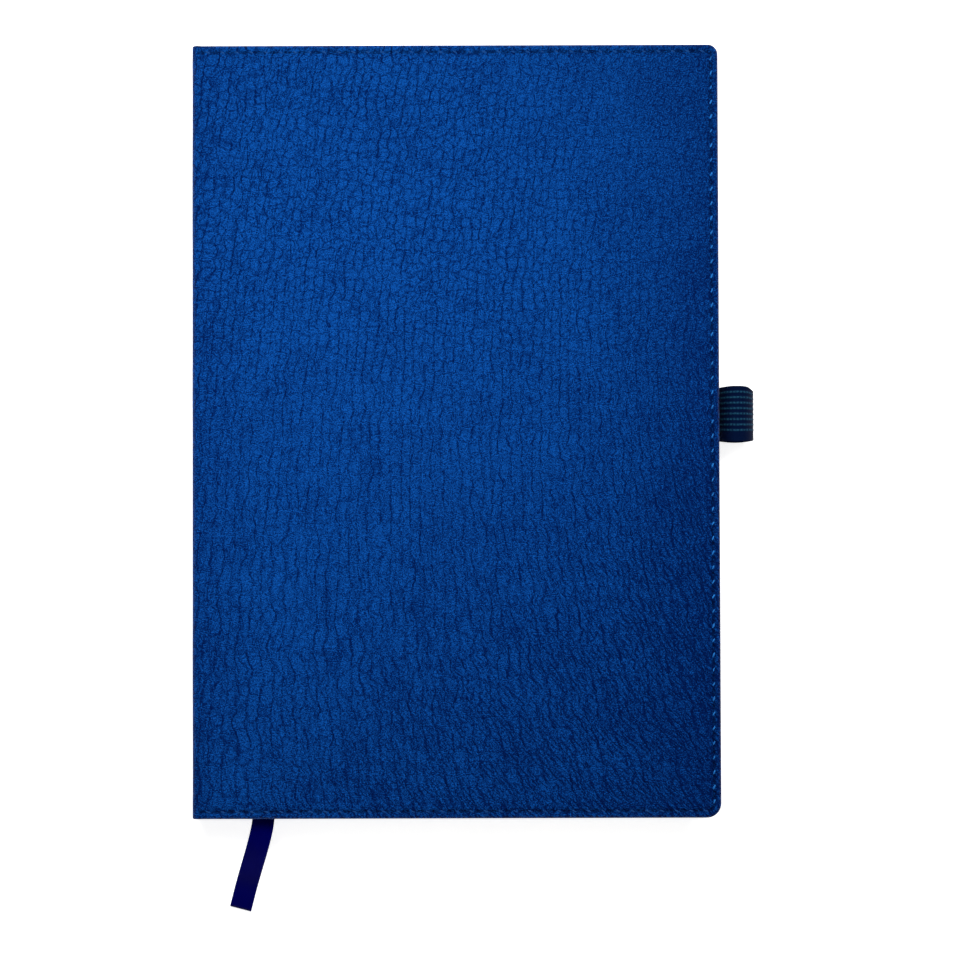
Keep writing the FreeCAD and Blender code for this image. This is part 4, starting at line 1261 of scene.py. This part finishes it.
def loop_path():
    """The middle of the band seen from the tail: in along the under side, round the pen, and back."""
    ends = []
    for start, side in SEAMS:
        dx, dz = LOOP_C[0] - start[0], LOOP_C[1] - start[1]
        reach = math.hypot(dx, dz)
        angle = math.atan2(dz, dx) + side * math.asin(LOOP_R / reach)
        run = math.sqrt(reach ** 2 - LOOP_R ** 2)
        ends.append((start, (start[0] + run * math.cos(angle), start[1] + run * math.sin(angle))))
    first, second = [math.atan2(t[1] - LOOP_C[1], t[0] - LOOP_C[0]) for _, t in ends]
    path = [tuple(a + (b - a) * n / RUN_STEPS for a, b in zip(*ends[0])) for n in range(RUN_STEPS)]
    for n in range(ROUND_STEPS + 1):
        a = first + (second - first) * n / ROUND_STEPS
        path.append((LOOP_C[0] + LOOP_R * math.cos(a), LOOP_C[1] + LOOP_R * math.sin(a)))
    path += [tuple(b + (a - b) * n / RUN_STEPS for a, b in zip(*ends[1])) for n in range(1, RUN_STEPS + 1)]
    return path


print("points along the loop:", len(loop_path()), "middle radius:", round(LOOP_R, 3), "mm")

# %% [markdown]
# ## Weaving the band
# The band has eighty-four strips across, enough for the rise and fall of every rib. It is a little wider
# halfway out than at the seam, and at its outer end the edge on the head side slopes in. The ribs stand up on
# the outside only; on the inside they are just a paler stripe.

# %% Weaving the band
ACROSS = 84
BAND_HALF, FLAT_HALF = 7.15, 7.5
RIB_PITCH, FIRST_RIB, RIBBED_FROM, RIBBED_TO = 1.48, 5.90, -5.4, 6.6
GROUND, RIB_HEIGHT, BACK_OF_BAND, WELT = 0.20, 0.11, -0.22, 0.05


def rib_rise(across):
    """0 in the ground, 1 on a rib, for a place across the band in millimetres from its middle."""
    if not RIBBED_FROM < across < RIBBED_TO:
        return 0.0
    return max(0.0, math.cos(2 * math.pi * (FIRST_RIB - across) / RIB_PITCH)) ** 1.3


def band_row(x, outer):
    """One row across the band: (place across, height off its middle, rib, place on the flat band)."""
    reach = min(1.0, max(0.0, (x - 71.5) / 10.0))
    bow = 0.45 * math.sin(math.pi * min(1.0, reach * 0.95))
    droop = 0.95 * soft_step(0.74, 1.02, reach) ** 1.6
    row = []
    for k in range(ACROSS + 1):
        share = k / ACROSS * 2 - 1
        across = share * (BAND_HALF + bow)
        if share > 0:
            across -= droop * share ** 3
        inside_edge = 1 - soft_step(0.97, 1.0, abs(share))
        rise = rib_rise(share * FLAT_HALF)
        if outer:
            welt = WELT * soft_step(0.86, 0.93, abs(share)) * inside_edge
            off = (GROUND + RIB_HEIGHT * rise) * inside_edge + welt
        else:
            off = BACK_OF_BAND * inside_edge
        row.append((across, off, rise, share * FLAT_HALF))
    return row


def band_faces(rows):
    """Faces of the outer side, the inner side, the two selvedges and the two ends."""
    wide, inner = 2 * (ACROSS + 1), ACROSS + 1
    faces = []
    for a in range(0, (rows - 1) * wide, wide):
        b = a + wide
        for k in range(ACROSS):
            m = inner + k
            faces.append([a + k, b + k, b + k + 1, a + k + 1])
            faces.append([a + m, a + m + 1, b + m + 1, b + m])
        faces.append([a, a + inner, b + inner, b])
        faces.append([b + ACROSS, b + inner + ACROSS, a + inner + ACROSS, a + ACROSS])
    last = (rows - 1) * wide
    faces.append([*range(inner), *range(wide - 1, ACROSS, -1)])
    faces.append([*range(last + inner, last + wide), *range(last + ACROSS, last - 1, -1)])
    return faces


def pen_loop_band():
    path = loop_path()
    verts, ribs, lay = [], [], []
    run = 0.0
    for n, (x, z) in enumerate(path):
        before, after = path[max(0, n - 1)], path[min(len(path) - 1, n + 1)]
        tx, tz = after[0] - before[0], after[1] - before[1]
        size = math.hypot(tx, tz)
        nx, nz = tz / size, -tx / size
        run += math.hypot(x - before[0], z - before[1])
        for outer in (True, False):
            for across, off, rise, flat in band_row(x, outer):
                verts.append(((x + nx * off) * MM, (LOOP_Y + across) * MM, (z + nz * off) * MM))
                ribs.append(rise if outer else rise * 0.5)
                lay.append((run, flat, 0.0 if outer else 5.0))
    return mesh_piece("pen_loop_elastic", verts, band_faces(len(path)), ELASTIC, {"rib": ribs},
                      lay={"band": lay})


pen_loop = pen_loop_band()
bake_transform(pen_loop)
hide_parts("pen_loop")
print("loop band:", len(pen_loop.data.polygons), "faces")

# %% [markdown]
# ## Marker ribbon
# A satin ribbon 6 mm wide is glued in at the head, lies between two sections, comes out at the tail and
# falls to the table. It follows one smooth NURBS curve through the route of the design. A curve can be
# bevelled flat, but a woven strip needs its own selvedges and its ends cut square, so a flat section is set
# across the points read from that curve. The finish is satin: fine warp threads along it, weft across.

# %% Marker ribbon
RIBBON_ROUTE = [
    (-65.5, 101.5, 12.65), (-62.5, 25.0, 12.65), (-57.9, -36.0, 12.65), (-53.6, -73.0, 12.65),
    (-51.9, -92.0, 12.65), (-52.3, -105.3, 12.65), (-54.0, -112.2, 10.6), (-56.2, -119.0, 6.3),
    (-58.1, -125.0, 2.2), (-59.5, -130.4, 0.45),
]


def smooth_points(route):
    """Points along a NURBS curve whose control points are the route, in metres."""
    curve = bpy.data.curves.new("ribbon_line", "CURVE")
    curve.dimensions = "3D"
    spline = curve.splines.new("NURBS")
    spline.points.add(len(route) - 1)
    for spot, p in zip(spline.points, route):
        spot.co = (*[c * MM for c in p], 1.0)
    spline.order_u = 3
    spline.use_endpoint_u = True
    spline.resolution_u = 12
    line = show("ribbon_line", curve)
    graph = bpy.context.evaluated_depsgraph_get()
    mesh = bpy.data.meshes.new_from_object(line.evaluated_get(graph), depsgraph=graph)
    points = [v.co.copy() for v in mesh.vertices]
    bpy.data.objects.remove(line)
    bpy.data.meshes.remove(mesh)
    if points[0].y < points[-1].y:
        points.reverse()
    return points


def ribbon_finish():
    satin = Finish("navy_satin", **{"Specular IOR Level": 0.12, "Specular Tint": colour(0.0, 0.0, 0.9)})
    along, across, _ = satin.place("satin")
    warp = satin.noise(satin.point(along * 0.25, across * 9.0, 0.0), 1.0, 2.0)
    weft = ((along * 4.0).maths("FRACT") - 0.5).maths("ABSOLUTE")
    edge = across.maths("ABSOLUTE").between(2.45, 2.7)
    cloud = satin.noise(satin.point(along, across, 0.0), 0.12, 2.0)
    tone = (0.35 + (warp - 0.5) * 0.6 + (cloud - 0.5) * 0.7 + edge * 0.15).clamped()
    satin.feed("Base Color", satin.blend(tone, colour(0.0, 0.0, 0.056), colour(0.0, 0.0004, 0.125)))
    satin.feed("Roughness", 0.42 + warp * 0.15)
    satin.relief(warp * 0.5 + weft * 0.6 + edge * 0.5, 0.03)
    return satin.material


RIBBON = ribbon_finish()
ribbon_points = smooth_points(RIBBON_ROUTE)
print("points along the ribbon:", len(ribbon_points))

# %% [markdown]
# ## The ribbon's strip
# The section is six millimetres wide and a sixth of a millimetre thick, with a raised selvedge on both sides.
# It is set across every point of the line, with its flat side up. An extruded curve would be quicker, but
# its section would be the same rounded bar all over.

# %% The ribbon's strip
HALF_SECTION = [(0.0, 0.08), (1.2, 0.08), (2.5, 0.08), (2.72, 0.115), (2.93, 0.10)]
RIBBON_EDGE = (3.0, 0.0)


def ribbon_strip(points):
    top = [(-a, b) for a, b in HALF_SECTION[:0:-1]] + HALF_SECTION
    section = [(-RIBBON_EDGE[0], 0.0), *top, RIBBON_EDGE, *[(a, -b) for a, b in top[::-1]]]
    verts, lay, faces = [], [], []
    run = 0.0
    for n, p in enumerate(points):
        before, after = points[max(0, n - 1)], points[min(len(points) - 1, n + 1)]
        ahead = (after - before).normalized()
        side = ahead.cross(Vector((0, 0, 1))).normalized()
        up = side.cross(ahead)
        run += (p - before).length / MM
        for a, b in section:
            verts.append(tuple(p + side * (a * MM) + up * (b * MM)))
            lay.append((run, a, b))
    ring = len(section)
    for n in range(len(points) - 1):
        for k in range(ring):
            m = (k + 1) % ring
            faces.append([n * ring + k, (n + 1) * ring + k, (n + 1) * ring + m, n * ring + m])
    faces.append(list(range(ring)))
    faces.append([(len(points) - 1) * ring + k for k in range(ring)][::-1])
    return mesh_piece("marker_ribbon", verts, faces, RIBBON, lay={"satin": lay})


ribbon = ribbon_strip(ribbon_points)
ribbon_length = sum((b - a).length for a, b in zip(ribbon_points, ribbon_points[1:]))
fasten(ribbon, "book_block", "ribbon", "ribbon_marker")
print("ribbon length", round(ribbon_length, 4))

# %% [markdown]
# ## What holds the book together
# Boards, card filling, lining, mull and the sewing are hardly seen until the book is opened or taken apart.
# Their shapes are right as designed, so they only need finishes: grey-brown pressed card with flecks, a
# coarse open cloth, and waxed thread. Making them again here would only risk a gap between two copies.

# %% Boards, cloth and sewing
def card_finish(name, light, dark):
    card = Finish(name, **{"Specular IOR Level": 0.15})
    x, y, z = card.place()
    fibre = card.noise(card.point(x * 0.8, y * 2.0, z * 4.0), 1.0, 4.0, 0.7)
    fleck = card.noise(card.point(x, y, z), 1.4, 2.0).between(0.62, 0.72)
    card.feed("Base Color", card.blend((fibre - fleck * 0.4).clamped(), dark, light))
    card.feed("Roughness", 0.85 + fibre * 0.1)
    card.relief(fibre, 0.06)
    return card.material


def cloth_finish(name, light, dark, pitch):
    cloth = Finish(name, **{"Sheen Weight": 0.15, "Specular IOR Level": 0.15})
    x, y, z = cloth.place()
    warp = ((y / pitch).maths("FRACT") - 0.5).maths("ABSOLUTE")
    weft = ((z / pitch).maths("FRACT") - 0.5).maths("ABSOLUTE")
    open_weave = (warp + weft).clamped()
    slub = cloth.noise(cloth.point(x, y, z), 1.2, 3.0)
    cloth.feed("Base Color", cloth.blend((open_weave * 0.7 + slub * 0.3).clamped(), dark, light))
    cloth.feed("Roughness", 0.8 + slub * 0.1)
    cloth.relief(open_weave, 0.08)
    return cloth.material


BOARD_CARD = card_finish("pressed_board", colour(0.36, 0.31, 0.25), colour(0.22, 0.18, 0.14))
INFILL = card_finish("filling_card", colour(0.50, 0.41, 0.30), colour(0.36, 0.28, 0.20))
MULL = cloth_finish("open_mull", colour(0.74, 0.71, 0.63), colour(0.45, 0.42, 0.36), 0.9)
SEWING = cloth_finish("waxed_thread", colour(0.78, 0.76, 0.68), colour(0.60, 0.57, 0.48), 0.35)
TAB = cloth_finish("elastic_tab", colour(0.006, 0.02, 0.06), colour(0.0008, 0.004, 0.024), 1.4)
finishes = {
    "front_cover_board": BOARD_CARD, "back_cover_board": BOARD_CARD, "spine_board": BOARD_CARD,
    "front_cover_infill": INFILL, "back_cover_infill": INFILL, "spine_lining": INFILL,
    "spine_mull": MULL, "section_sewing": SEWING, "first_section_folds": PAGE_EDGE, "pen_loop_tab": TAB,
}
for node, material in finishes.items():
    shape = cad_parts[node].data
    if shape.materials:
        for slot_number in range(len(shape.materials)):
            shape.materials[slot_number] = material
    else:
        shape.materials.append(material)
print("finished", len(finishes), "designed parts")

# %% Finish
bpy.context.view_layer.update()
low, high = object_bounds()
